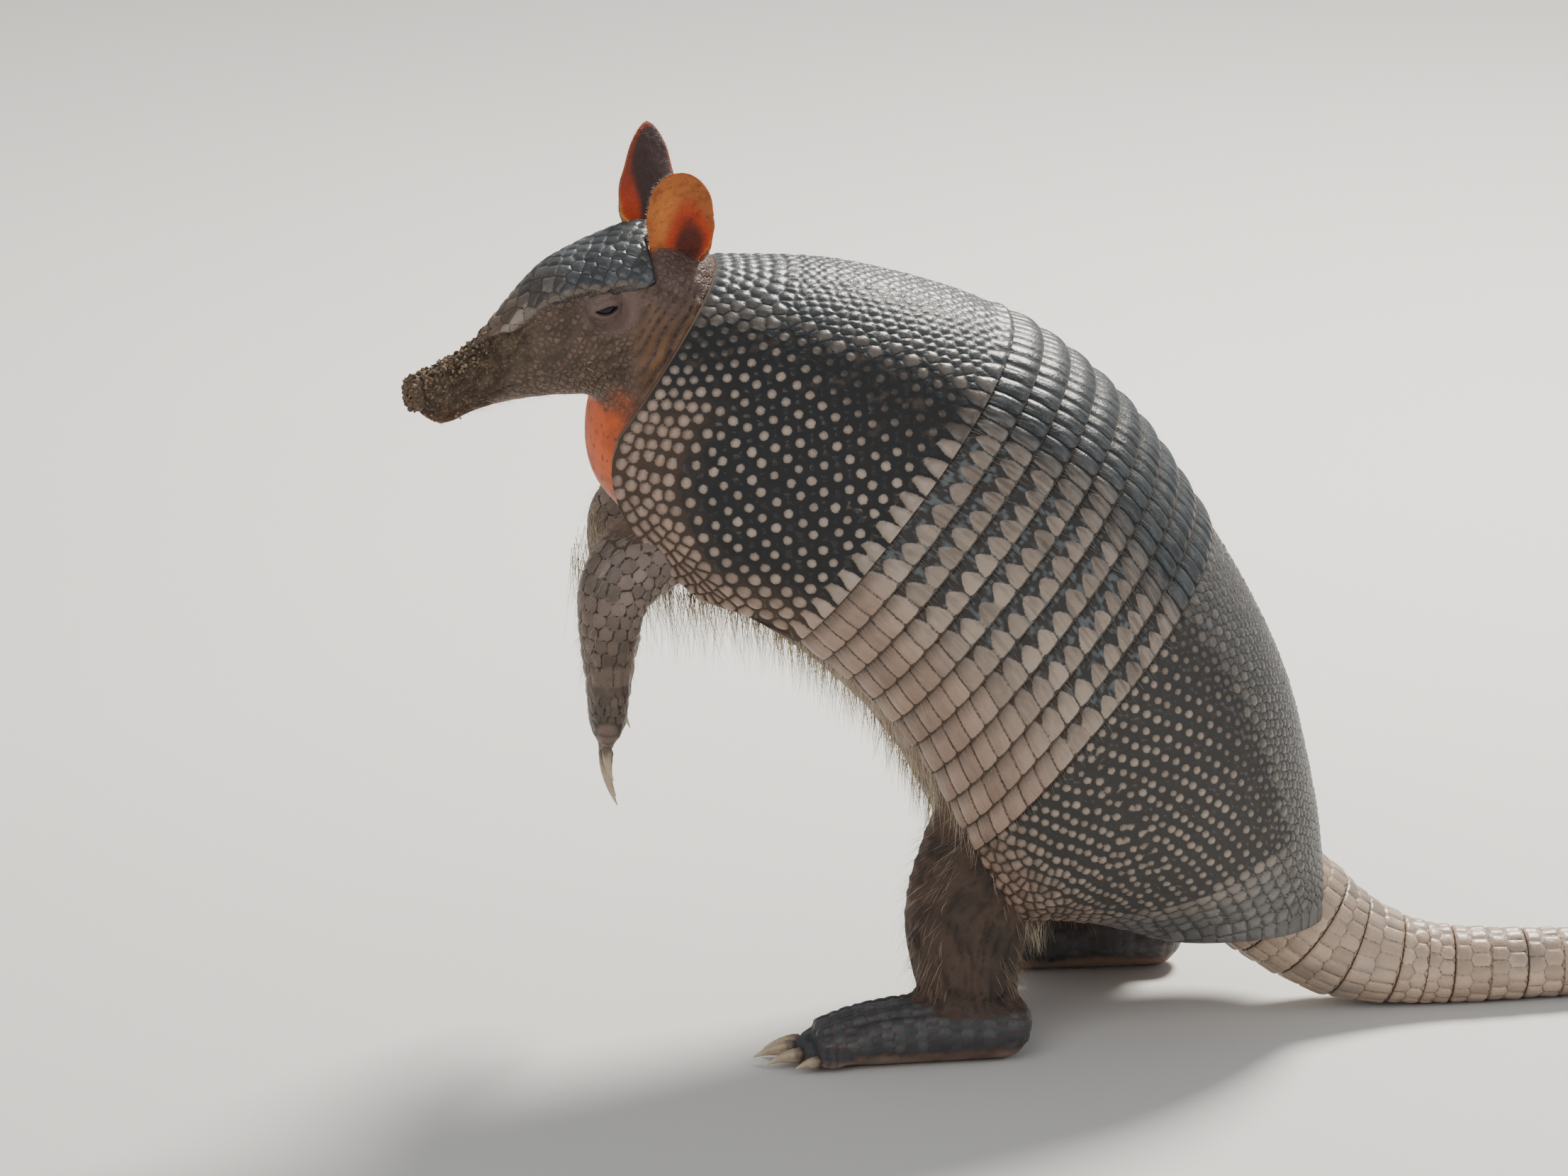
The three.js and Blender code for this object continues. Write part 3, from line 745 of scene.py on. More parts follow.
@dataclass(frozen=True)
class HairFinish:
    """Pale straw-coloured, dry hair, browner at the root."""

    name: str = "hair"
    root: Colour = (0.36, 0.26, 0.16)
    tip: Colour = (0.74, 0.62, 0.43)

    def material(self) -> Finish:
        """The finished material."""
        board = Board(self.name)
        tone = board.paint("tone")
        colour = board.mix(self.root, self.tip, board.paint("along").smooth(0.0, 0.7))
        return board.finish(Base_Color=board.shade(colour, 0.6 + tone * 0.55), Roughness=0.42 + tone * 0.15)


@dataclass(frozen=True)
class MudFinish:
    """Crumbly dried earth, each crumb of its own tone."""

    name: str = "dry_mud"
    dark: Colour = (0.060, 0.038, 0.024)
    light: Colour = (0.24, 0.170, 0.110)
    grain: float = 0.0005
    pits: float = 0.00012

    def material(self) -> Finish:
        """The finished material."""
        board = Board(self.name)
        fine = board.grain(self.grain)
        colour = board.mix(self.dark, self.light, (board.paint("tone") * 0.8 + fine * 0.4).smooth(0.1, 1.0))
        return board.finish(
            Base_Color=colour, Roughness=0.86 + fine * 0.1, Normal=board.bump(fine, self.pits), IOR=1.4
        )


# ---- The shell


class Region(Enum):
    """Which of the shell's two shields a plate is, which sets its pattern."""

    SHOULDER = "shoulder_shield"
    RUMP = "rump_shield"


@dataclass(frozen=True)
class ShellColours:
    """Colours of the horn and of the skin between the scutes."""

    pale: Colour = (0.350, 0.275, 0.220)
    pink: Colour = (0.325, 0.222, 0.165)
    slate: Colour = (0.050, 0.056, 0.060)
    grey: Colour = (0.112, 0.108, 0.104)
    black: Colour = (0.0125, 0.0125, 0.0135)
    dusk: Colour = (0.034, 0.031, 0.029)
    brown: Colour = (0.058, 0.036, 0.024)
    rim: Colour = (0.160, 0.110, 0.082)


@dataclass
class Hide:
    """The curved surface that the trunk and every plate share.

    A point lies at a distance along the ridge, at an angle round the body from the ridge, and at a
    height over the surface. The section is a rounded square: the cosine and the sine of the angle
    raised to a power, times the half-height and the half-width there.
    """

    rows: tuple = (
        (0, -62, 234.2, 35, 57, 37.5), (41, -21.3, 230.5, 36, 59, 49),
        (89.5, 24.7, 215, 37.3, 60.5, 56), (133, 59.3, 188.2, 38.5, 62, 59),
        (176, 84, 152.6, 39.7, 63.5, 60), (225, 106.5, 110, 51, 59, 58),
        (268, 117.2, 67.8, 70, 46.5, 50), (303, 121.5, 32, 88, 31, 35),
    )
    upper_power: float = 2 / 2.15
    lower_power: float = 2 / 2.7
    side_power: float = 2 / 2.35

    def point(self, distance: Array, angle: Array, lift: Array | float = 0.0) -> Array:
        """Points of the surface.

        Args:
            distance: millimetres along the ridge.
            angle: degrees from the ridge, positive on the left.
            lift: height over the surface.

        Returns:
            Positions, with one more axis than the inputs.
        """
        distance, angle, lift = np.broadcast_arrays(distance, angle, lift)
        x, z, lean, high, wide = np.moveaxis(rows_at(self.rows, distance), -1, 0)
        lean, across = np.radians(lean), np.radians(angle)
        over = power(np.cos(across), np.where(np.cos(across) > 0, self.upper_power, self.lower_power))
        rise = (high + lift) * over - high
        side = -(wide + lift) * power(np.sin(across), self.side_power)
        return np.stack([x + np.sin(lean) * rise, side, z + np.cos(lean) * rise], axis=-1)

    def row(self, line: Line, pitch: float, offset: float, reach: float) -> tuple[Array, Array]:
        """Places evenly spaced round the body along a line, counted from the ridge.

        Args:
            line: the distance along the ridge for each angle.
            pitch: millimetres between places.
            offset: how far the first place lies from the ridge, in pitches.
            reach: the last angle, degrees.

        Returns:
            Distances and angles of the places.
        """
        angle = np.linspace(-reach, reach, 721)
        arc = run_along(self.point(line(angle), angle))
        arc -= arc[360]
        first, last = math.ceil(arc[0] / pitch - offset), math.floor(arc[-1] / pitch - offset)
        places = np.interp((np.arange(first, last + 1) + offset) * pitch, arc, angle)
        return line(places), places

    def spread_out(self, places: Array, free: Array, pitch: float, rounds: int = 10) -> Array:
        """Evens out places: each is pushed from those nearer than a pitch, along the surface.

        Args:
            places: N x 2 distances and angles.
            free: for each place whether it may move, from 0 to 1.
            pitch: the distance wanted between neighbours.
            rounds: how often.

        Returns:
            The moved places.
        """
        for _ in range(rounds):
            s, a = places.T
            here = self.point(s, a)
            off = here[:, None] - here[None]
            gap = np.sqrt((off**2).sum(-1)) + 1e9 * np.eye(len(here))
            push = (off * (np.maximum(pitch - gap, 0) / gap)[..., None]).sum(1) * 0.3
            along = self.point(s + 0.5, a) - self.point(s - 0.5, a)
            around = self.point(s, a + 0.5) - self.point(s, a - 0.5)
            move = [(push * way).sum(1) / (way**2).sum(1) for way in (along, around)]
            places = places + np.stack(move, 1) * free[:, None]
        return places


@dataclass
class Shell:
    """The shoulder shield, the movable bands and the rump shield, with their scutes raised."""

    finish: Finish
    hide: Hide = field(default_factory=Hide)
    tint: ShellColours = field(default_factory=ShellColours)
    plate: float = 3.6
    gap: float = 0.3
    edge_angle: float = 136.0
    shoulder_rear: float = 89.5
    band_count: int = 9
    band_pitch: float = 9.6
    rump_rear: float = 303.0
    collar_sweep: float = 55.0
    band_lift: float = 1.1
    scute_pitch: float = 5.2
    dot_pitch: float = 6.0
    rump_pitch: float = 5.0
    row_share: float = 0.88  # the step from row to row, in pitches
    collar_rows: tuple = (2.2, 5.9, 9.7, 13.6, 17.6)
    collar_clear: float = 20.5

    @property
    def rump_front(self) -> float:
        """Where the rump shield begins."""
        return self.shoulder_rear + self.band_count * self.band_pitch

    def collar(self, angle: Array) -> Array:
        """Where the shoulder shield begins at an angle: swept back towards its lower corner."""
        turn = np.maximum(0, np.abs(angle) - 88) / (self.edge_angle - 88)
        return 1 + self.collar_sweep * turn**1.25

    def loop(self, outer: int, inner: int, overhang: float) -> tuple[Array, Array, Array]:
        """The closed section of a plate: over the outside, round the rear edge and back inside.

        Args:
            outer: samples over the outside.
            inner: samples along the inside.
            overhang: how far the rear edge stands out over the next plate, in millimetres.

        Returns:
            For each sample its share of the way back, its share of the plate's thickness from the
            inside, and its overhang in millimetres.
        """
        way = np.linspace(0, 1, outer)
        inside = np.zeros(inner)
        share = np.concatenate([way, [1, 1, 1, 1], np.linspace(1, 0, inner), [0, 0]])
        depth = np.concatenate([0 * way + 1, [0.96, 0.85, 0.76, 0.70], inside, [0.5, 0.9]])
        over = np.concatenate([smooth(way, 0.9, 1.0), [1.12, 1.1, 0.9, 0], inside, [0, 0]])
        return share, depth, over * overhang

    def seeds(self, region: Region) -> tuple[Array, Array, Array, Array]:
        """Middles of the scutes of a shield: large ones in staggered rows, with small ones between.

        Returns:
            Distances, angles, whether each one is large, and its size advantage in mm^2.
        """
        front = region is Region.SHOULDER
        first, last = (self.shoulder_rear - 3.4, 0) if front else (self.rump_front + 3.6, self.rump_rear - 2)
        sign, every = (-1, self.dot_pitch) if front else (1, self.rump_pitch)
        rows = []
        for k, ahead in enumerate(self.collar_rows if front else ()):
            rows.append((lambda a, ahead=ahead: self.collar(a) + ahead, 4.1 + 0.2 * k, 0.5 * (k % 2), 0.0))
        for k in range(int(abs(last - first) / (every * self.row_share))):
            place = first + sign * k * every * self.row_share
            rows.append((lambda a, place=place: place + 0 * a, every, 0.5 * (k % 2), self.collar_clear))
        large, small = [], []
        for line, pitch, offset, keep_off in rows:
            for push in (0, 1 / 3, 2 / 3)[: 3 if keep_off else 1]:
                s, a = self.hide.row(line, pitch, offset + 0.5 * (push == 1 / 3), self.edge_angle - 1)
                s = s + sign * every * self.row_share * push
                kept = (s - self.collar(a) > keep_off) | (not front)
                (small if push else large).append(np.stack([s, a], 1)[kept])
        fixed = len(self.collar_rows) + 1 if front else 1
        free = np.concatenate([np.full(len(row), float(k >= fixed)) for k, row in enumerate(large)])
        big = self.hide.spread_out(np.concatenate(large), free, every * 0.97)
        whole = np.concatenate([big, *small])
        is_large = np.arange(len(whole)) < len(big)
        wobble = np.stack([hashed(whole, 3), hashed(whole, 4)], 1) - 0.5
        s, a = (whole + wobble * [0.9, 1.1]).T
        weight = is_large * (1.5 + 5.5 * smooth(np.abs(a), 30, 62)) * (every / self.dot_pitch) ** 2
        return s, a, is_large, weight

    def shield(self, region: Region, round_: int, outer: int) -> Piece:
        """The shoulder or the rump shield.

        Args:
            region: which one.
            round_: rings from one lower edge to the other.
            outer: samples from front to rear over the outside.

        Returns:
            The finished piece.
        """
        front = region is Region.SHOULDER
        share, depth, over = self.loop(outer, 10, 1.0 * front)
        angle = np.linspace(-self.edge_angle, self.edge_angle, round_)[:, None]
        start = self.collar(angle) if front else self.rump_front + self.gap / 2 + 0 * angle
        stop = self.shoulder_rear - self.gap / 2 if front else self.rump_rear
        distance = start + (stop - start) * share
        margin = 0.8 * smooth(distance, self.shoulder_rear - 4, self.shoulder_rear - 1)
        rest = 0.4 * smooth(distance, self.rump_front, self.rump_front + 4) - 0.4
        lift = -self.plate + (self.plate + (margin if front else rest)) * depth
        grid = self.hide.point(distance + over, angle, lift)
        run = distance[:, :outer]
        s, a, large, weight = self.seeds(region)
        flat = self.hide.point(run, angle).reshape(-1, 3)
        spots = nearest_seeds(flat, self.hide.point(s, a), weight)
        *look, height = self.shield_look(region, spots, (s, a, large), flat, run.ravel())
        ease = np.minimum(smooth(share[:outer], 0, 0.02), 1 - smooth(share[:outer], 0.985, 1) * 0.7)
        rise = height.reshape(round_, outer) * ease - 0.25
        return cut_plate(f"{region.value}_horn", grid, outer, rise, look, self.tint.rim)

    def shield_look(
        self,
        region: Region,
        spots: tuple[Array, Array, Array],
        seeds: tuple[Array, Array, Array],
        points: Array,
        run: Array,
    ) -> tuple[Array, Array, Array, Array]:
        """Rim, both colours and height over a shield, from the cell each point lies in.

        Pale round dots stand on near-black skin at the flank; towards the ridge all scutes turn into
        dark pebbles; towards the lower edge and the collar the dots widen, run together and turn
        pink. The shoulder's last row is wedges that point forwards.

        Args:
            region: which shield.
            spots: for each point the distance to its scute's middle and to its edge, and its number.
            seeds: the scutes' distances, angles and whether each is large.
            points: the points, before anything is raised.
            run: their distances along the ridge.

        Returns:
            Millimetres inside an edge, the colours inside and between, and the height.
        """
        tint = self.tint
        near, wall, cell = spots
        s, a, large = (values[cell] for values in seeds)
        side = np.abs(a)
        patch = layered(points, 26.0, 5) * 7
        shoulder = region is Region.SHOULDER
        dorsal = 1 - smooth(side + patch, 30, 58)
        low = smooth(side + patch * 0.6, 106, 130)
        if shoulder:
            fore = 1 - smooth(s - self.collar(a) + patch * 0.5, 12, 30)
            last = smooth(s, self.shoulder_rear - 5, self.shoulder_rear - 4)
            border = 50 + 17 * smooth(s, 25, 60) + 13 * (1 - smooth(s, 8, 30)) - 5 * last
            seen = smooth(side + patch * 0.5 - border, -9, 9)
            fore = fore * smooth(side, 62, 86)
        else:
            fore = last = np.zeros(len(cell))
            seen = 0.86 * smooth(side + patch - 56, -14, 14) * (1 - 0.3 * smooth(s, 200, 285))
            dorsal = np.maximum(dorsal, smooth(s + patch, 255, 290))
        slate = np.asarray(tint.slate if shoulder else tint.grey)
        tone = lot(cell, 7, 9)
        round_size = (1.36 if shoulder else 1.18) + 0.26 * (tone - 0.5) + 0.22 * noise(points, 2.0, 61)
        round_size = round_size + 1.0 * low**0.7 + 0.40 * fore + 9 * smooth(dorsal, 0.35, 0.9) + 9 * last
        round_size = round_size - 0.3 * (1 - seen) * (1 - dorsal)
        gap = 0.24 + (0.10 * low + 0.14 * fore) * (1 - dorsal)
        low = np.maximum(low, fore)
        rim = np.minimum(wall - gap, np.where(large, round_size - near, 9))
        along = run - s
        across = np.sqrt(np.maximum(near**2 - along**2, 0))
        wedge = 2.55 * np.clip((along + 4.0) / 4.8, 0, 1) ** 0.8 - across - 0.1
        rim = np.where(last > 0.5, np.minimum(wall - 0.12, wedge), rim)
        pale = blended(tint.pale, tint.pink, low)
        pale = blended(pale, slate, dorsal)
        pale = pale * (1 - 0.84 * (1 - seen) * (1 - dorsal))[:, None]
        pale = pale * (0.66 + 0.34 * smooth(rim, 0.0, 0.9))[:, None]
        pale = pale * (1 - 0.25 * smooth(-along, -0.6, 2.0) * (1 - dorsal))[:, None]
        ground = np.asarray(tint.black if shoulder else tint.dusk)
        dust = smooth(layered(points, 2.2, 63), 0.15, 0.7) * (1 - dorsal) * (0.25 + 0.75 * (1 - seen))
        ground = blended(ground, np.asarray(tint.rim) * 0.5, dust * 0.75)
        small = blended(ground, tint.brown, low * 0.9) * (1.0 if shoulder else 1.5)
        small = blended(small, slate * 0.8, dorsal)
        inside = np.where(large[:, None], pale, small) * (0.76 + 0.42 * tone)[:, None]
        between = blended(ground, tint.brown, low)
        bulge = np.sqrt(np.clip(rim / (1.3 + 0.3 * large), 0, 1))
        clear = 0.5 + 0.5 * np.maximum(seen, dorsal)
        tall = np.where(large, (0.60 + 0.12 * low) * clear, 0.20 + 0.34 * dorsal)
        grit = layered(points, 1.4, 21) * 0.05
        return rim, inside, between, tall * bulge * (0.8 + 0.4 * tone) + grit

    def band(self, k: int, round_: int, outer: int) -> Piece:
        """One movable band: wedge-shaped scutes, wide at the rear margin, with dark wedges between.

        Args:
            k: the band's number from 0.
            round_: rings from one lower edge to the other.
            outer: samples from front to rear over the outside.

        Returns:
            The finished piece.
        """
        start = self.shoulder_rear + k * self.band_pitch + self.gap / 2
        reach = self.band_pitch - self.gap
        share, depth, over = self.loop(outer, 8, 1.5)
        angle = np.linspace(-self.edge_angle, self.edge_angle, round_)
        crown = -0.5 + (self.band_lift + 0.5) * smooth(share, -0.1, 0.85)
        lift = -self.plate + (self.plate + crown) * depth
        grid = self.hide.point(start + reach * share + over, angle[:, None], lift)
        arc = run_along(self.hide.point(start + reach / 2, angle))
        arc -= arc[round_ // 2]
        share = share[:outer]
        *look, height = self.band_look(k, arc, share, over[:outer], np.abs(angle))
        ease = smooth(share, 0, 0.05) * (1 - 0.5 * smooth(share, 0.97, 1))
        return cut_plate(f"band_{k + 1}_horn", grid, outer, height * ease - 0.2, look, self.tint.rim)

    def band_look(
        self, k: int, arc: Array, share: Array, over: Array, side: Array
    ) -> tuple[Array, Array, Array, Array]:
        """Rim, both colours and height over a band.

        The half-width of a scute grows from its front to its rear; the rim is the distance to its
        nearer flank, or to the rounded rear end.
        """
        tint = self.tint
        sway = noise(np.stack([arc, arc * 0 + 11 * k, arc * 0], 1), 23.0, 31) * 0.22
        wider = 0.22 * np.sign(arc) * np.maximum(np.abs(arc) - 72, 0)
        cell = (arc - wider) / self.scute_pitch + 0.5 * (k % 2) + sway
        number = np.floor(cell)
        across = (cell - number - 0.5)[:, None]
        tone = lot(number, k, 2)[:, None]
        side = side + noise(np.stack([arc, arc * 0, arc * 0 + 9 * k], 1), 17.0, 8) * 6
        side = side[:, None]
        dorsal = 1 - smooth(side, 42, 66 - 1.2 * k)
        low = smooth(side, 84, 116)
        way = share[None, :]
        jag = (lot(number, 3 * k, 12)[:, None] - 0.5) * 0.16
        high = smooth(side, 100, 66) * (1 - dorsal)
        apex = 0.38 + 0.08 * high + jag - 0.76 * low - 0.68 * dorsal
        open_ = np.clip((way - apex) / (0.42 - 0.1 * low), 0, 1)
        half = (0.478 - 0.03 * dorsal) * open_ ** (0.55 - 0.05 * low)
        flank = (half - np.abs(across)) * self.scute_pitch
        reach = (way + over[None, :] / 9.3) * 9.3
        front = (way - 0.05) * 9.3 - 1.6 * dorsal * (2 * np.abs(across)) ** 3
        rounded = 10.75 - reach - (0.5 + 1.6 * dorsal) * (2 * np.abs(across)) ** 4
        rim = np.minimum(np.minimum(flank, front), rounded) - 0.12
        pale = blended(tint.pale, tint.pink, low)
        inside = blended(pale, np.asarray(tint.slate), dorsal + 0 * way)
        # Each scute is darker towards the band's front, where it runs under the band ahead: painted shade.
        fade = smooth(way, 0.12 - 0.2 * dorsal, 0.80 - 0.12 * low - 0.3 * dorsal)[..., None]
        inside = inside * (0.44 + 0.56 * fade) * (0.78 + 0.36 * tone - 0.30 * high)[..., None]
        place = np.stack(np.broadcast_arrays(arc[:, None], way * 9.3, k * 12.0), -1)
        speck = smooth(noise(place * [1.0, 0.6, 1.0], 0.9, 44), 0.05, 0.6) * (1 - dorsal) * (1 - low)
        streak = smooth(noise(place * [1.3, 0.22, 1.0], 0.8, 46), -0.1, 0.6)
        ground = blended(tint.dusk, np.asarray(tint.slate) * 2.1, speck)
        between = blended(ground, tint.brown, smooth(low, 0.0, 0.6) + 0 * way)
        between = blended(between, np.asarray(tint.black) * 0.7, dorsal + 0 * way)
        inside = inside * (1 - (0.20 + 0.34 * dorsal + 0.2 * high - 0.1 * low) * streak)[..., None]
        bulge = np.sqrt(np.clip(rim / (1.1 + 0.3 * low), 0, 1))
        grit = layered(place, 1.1, 41) * 0.06
        height = (0.30 + 0.14 * low + 0.16 * dorsal) * bulge + grit + 0.10 * speck * (rim < 0)
        height = height - 0.09 * streak * (dorsal + 0.6 * high)
        return rim, inside, between, height

    def build(self) -> None:
        """Builds every plate of the shell."""
        fine = 1.0
        pieces = [self.shield(Region.SHOULDER, int(500 * fine), int(166 * fine))]
        pieces += [self.band(k, int(600 * fine), int(26 * fine) + 4) for k in range(self.band_count)]
        pieces.append(self.shield(Region.RUMP, int(430 * fine), int(196 * fine)))
        for piece in pieces:
            node = piece.name.removesuffix("_horn")
            dress(piece, self.finish, "band" if node.startswith("band") else "shell", node)


def dress(piece: Piece, finish: Finish, slot: str, *nodes: str) -> None:
    """Gives a piece its material, and its place among the solids.

    Args:
        piece: the piece.
        finish: its material.
        slot: not used.
        *nodes: the solids it stands for.
    """
    piece.data.materials.clear()
    piece.data.materials.append(finish)
    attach(piece, "root")
    if nodes:
        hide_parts(*nodes)
    log.info("%s: %d faces", piece.name, len(piece.data.polygons))


# ---- Flesh


@dataclass
class HeadForm:
    """The head's surface, in head coordinates: ahead of the neck pivot, to the left, and height."""

    rows: tuple = (
        (-10.5, 232, 215, 11), (-6, 238.8, 207, 16), (0.5, 243.4, 200, 20.4), (9, 244.4, 196.5, 22),
        (18, 242.2, 196.2, 21.3), (28, 238.6, 196.4, 19), (38, 234, 196.4, 15.6), (50, 222.6, 195.4, 11),
        (60, 212.8, 193.4, 8.6), (70, 207.6, 189.6, 7.4), (76.5, 204.6, 193.2, 6.2),
    )
    section_power: float = 0.92

    def section(self, ahead: Array) -> tuple[Array, Array, Array]:
        """Middle height, half-height and half-width at a distance ahead."""
        top, bottom, wide = np.moveaxis(rows_at(self.rows, ahead), -1, 0)
        return (top + bottom) / 2, (top - bottom) / 2, wide

    def surface(self, ahead: Array, angle: Array, lift: Array | float = 0.0) -> Array:
        """Points at a distance ahead, at degrees from the crown, at a height over the skin."""
        ahead, angle, lift = np.broadcast_arrays(ahead, angle, lift)
        middle, high, wide = self.section(ahead)
        turn = np.radians(angle)
        left = (wide + lift) * power(np.sin(turn), self.section_power)
        up = middle + (high + lift) * power(np.cos(turn), self.section_power)
        return head_point(ahead, left, up)

    def angle(self, ahead: Array, left: Array, up: Array) -> Array:
        """Degrees from the crown of a point near the surface."""
        middle, high, wide = self.section(np.clip(ahead, *HEAD_ENDS))
        across = power(left / wide, 1 / self.section_power)
        over = power((up - middle) / high, 1 / self.section_power)
        return np.degrees(np.arctan2(across, over))


class Side(Enum):
    """The animal's left or right."""

    LEFT = 1
    RIGHT = -1


def path_frames(rows: tuple, t: Array) -> tuple[Array, Array, Array, Array]:
    """A path's row at t, its way on, its sideways and its fore direction, on the left side."""
    table = numbered(rows)
    here = rows_at(table, t)
    step = rows_at(table, np.minimum(t + 0.05, len(rows) - 1)) - rows_at(table, np.maximum(t - 0.05, 0))
    ahead = unit(step[..., :3])
    aside = unit(np.array([0.0, 1.0, 0.0]) - ahead * ahead[..., 1:2])
    return here, ahead, aside, np.cross(aside, ahead)


@dataclass
class Limb:
    """A limb: rings square to a path, with half-sizes fore and aft and sideways."""

    rows: tuple
    side: Side = Side.LEFT

    def mine(self, points: Array) -> Array:
        """Whether points lie on the limb's side of the body."""
        return points[:, 1] * self.side.value < 0

    def around(self, t: Array, angle: Array) -> tuple[Array, Array, Array]:
        """The path's point, the way from it to the skin, and the path's way on, on the left side."""
        here, ahead, aside, fore = path_frames(self.rows, t)
        ring = here[..., 3:4] * np.cos(angle)[..., None] * fore
        return here[..., :3], ring + here[..., 4:5] * np.sin(angle)[..., None] * aside, ahead

    def grid(self, rings: int, round_: int, blunt: float = 0.0, heel: float = 0.0) -> Array:
        """The limb's surface as closed rings, whose size at a blunt end falls as a circle does.

        Args:
            rings: how many along the path.
            round_: points in a ring.
            blunt: length of the rounded far end, as a share of the path.
            heel: length of the rounded near end, as a share of the path.

        Returns:
            rings x round_ x 3 points, on the limb's own side.
        """
        t = np.linspace(0, 1, rings)[:, None]
        far = np.clip((t - 1 + blunt) / max(blunt, 1e-6), 0, 1)
        near = np.clip((heel - t) / max(heel, 1e-6), 0, 1)
        size = np.sqrt(np.maximum(1 - far**2, 0.02) * np.maximum(1 - near**2, 0.02))
        here, ring, _ = self.around(t * (len(self.rows) - 1), (TURN * np.arange(round_) / round_)[None])
        return (here + ring * size[..., None]) * np.array([1, self.side.value, 1])

    def place(self, points: Array, samples: int = 80) -> tuple[Array, Array, Array]:
        """Where points lie on the limb.

        Returns:
            The place along the path in rows, the distance from the path over the half-size there,
            and the angle round it in degrees from the fore side.
        """
        t = np.linspace(0, len(self.rows) - 1, samples)
        here, ahead, aside, fore = path_frames(self.rows, t)
        local = points * np.array([1, self.side.value, 1])
        gap = ((local[:, None] - here[None, :, :3]) ** 2).sum(-1)
        best = gap.argmin(1)
        off = local - here[best, :3]
        front = (off * fore[best]).sum(1) / here[best, 3]
        across = (off * aside[best]).sum(1) / here[best, 4]
        beyond = (off * ahead[best]).sum(1) / here[best, 3:5].min(1)
        far = np.sqrt(front**2 + across**2 + beyond**2)
        return t[best], far, np.degrees(np.arctan2(across, front))

    def seeds(self, pitch: float) -> Array:
        """Scute middles over the limb, in staggered rings."""
        t = np.linspace(0, len(self.rows) - 1, 200)
        run = run_along(path_frames(self.rows, t)[0][:, :3])
        out = []
        for k in range(int(run[-1] / (pitch * 0.87)) + 1):
            at = np.interp(k * pitch * 0.87, run, t)
            size = rows_at(numbered(self.rows), at)[3:5]
            count = max(5, round(math.pi * size.sum() / pitch))
            angle = TURN * (np.arange(count) + 0.5 * (k % 2)) / count
            angle = angle + (lot(angle, k, 5) - 0.5) * 0.4 * TURN / count
            here, ring, _ = self.around(0 * angle + at, angle)
            out.append(here + ring)
        return np.concatenate(out) * np.array([1, self.side.value, 1])


def stride(rows: tuple, back: float, start: float, stop: float) -> tuple:
    """Limb rows swung back from the top, so that the far end stands further behind."""
    share = np.linspace(start, stop, len(rows))
    return tuple((row[0] + back * t, *row[1:]) for row, t in zip(rows, share))


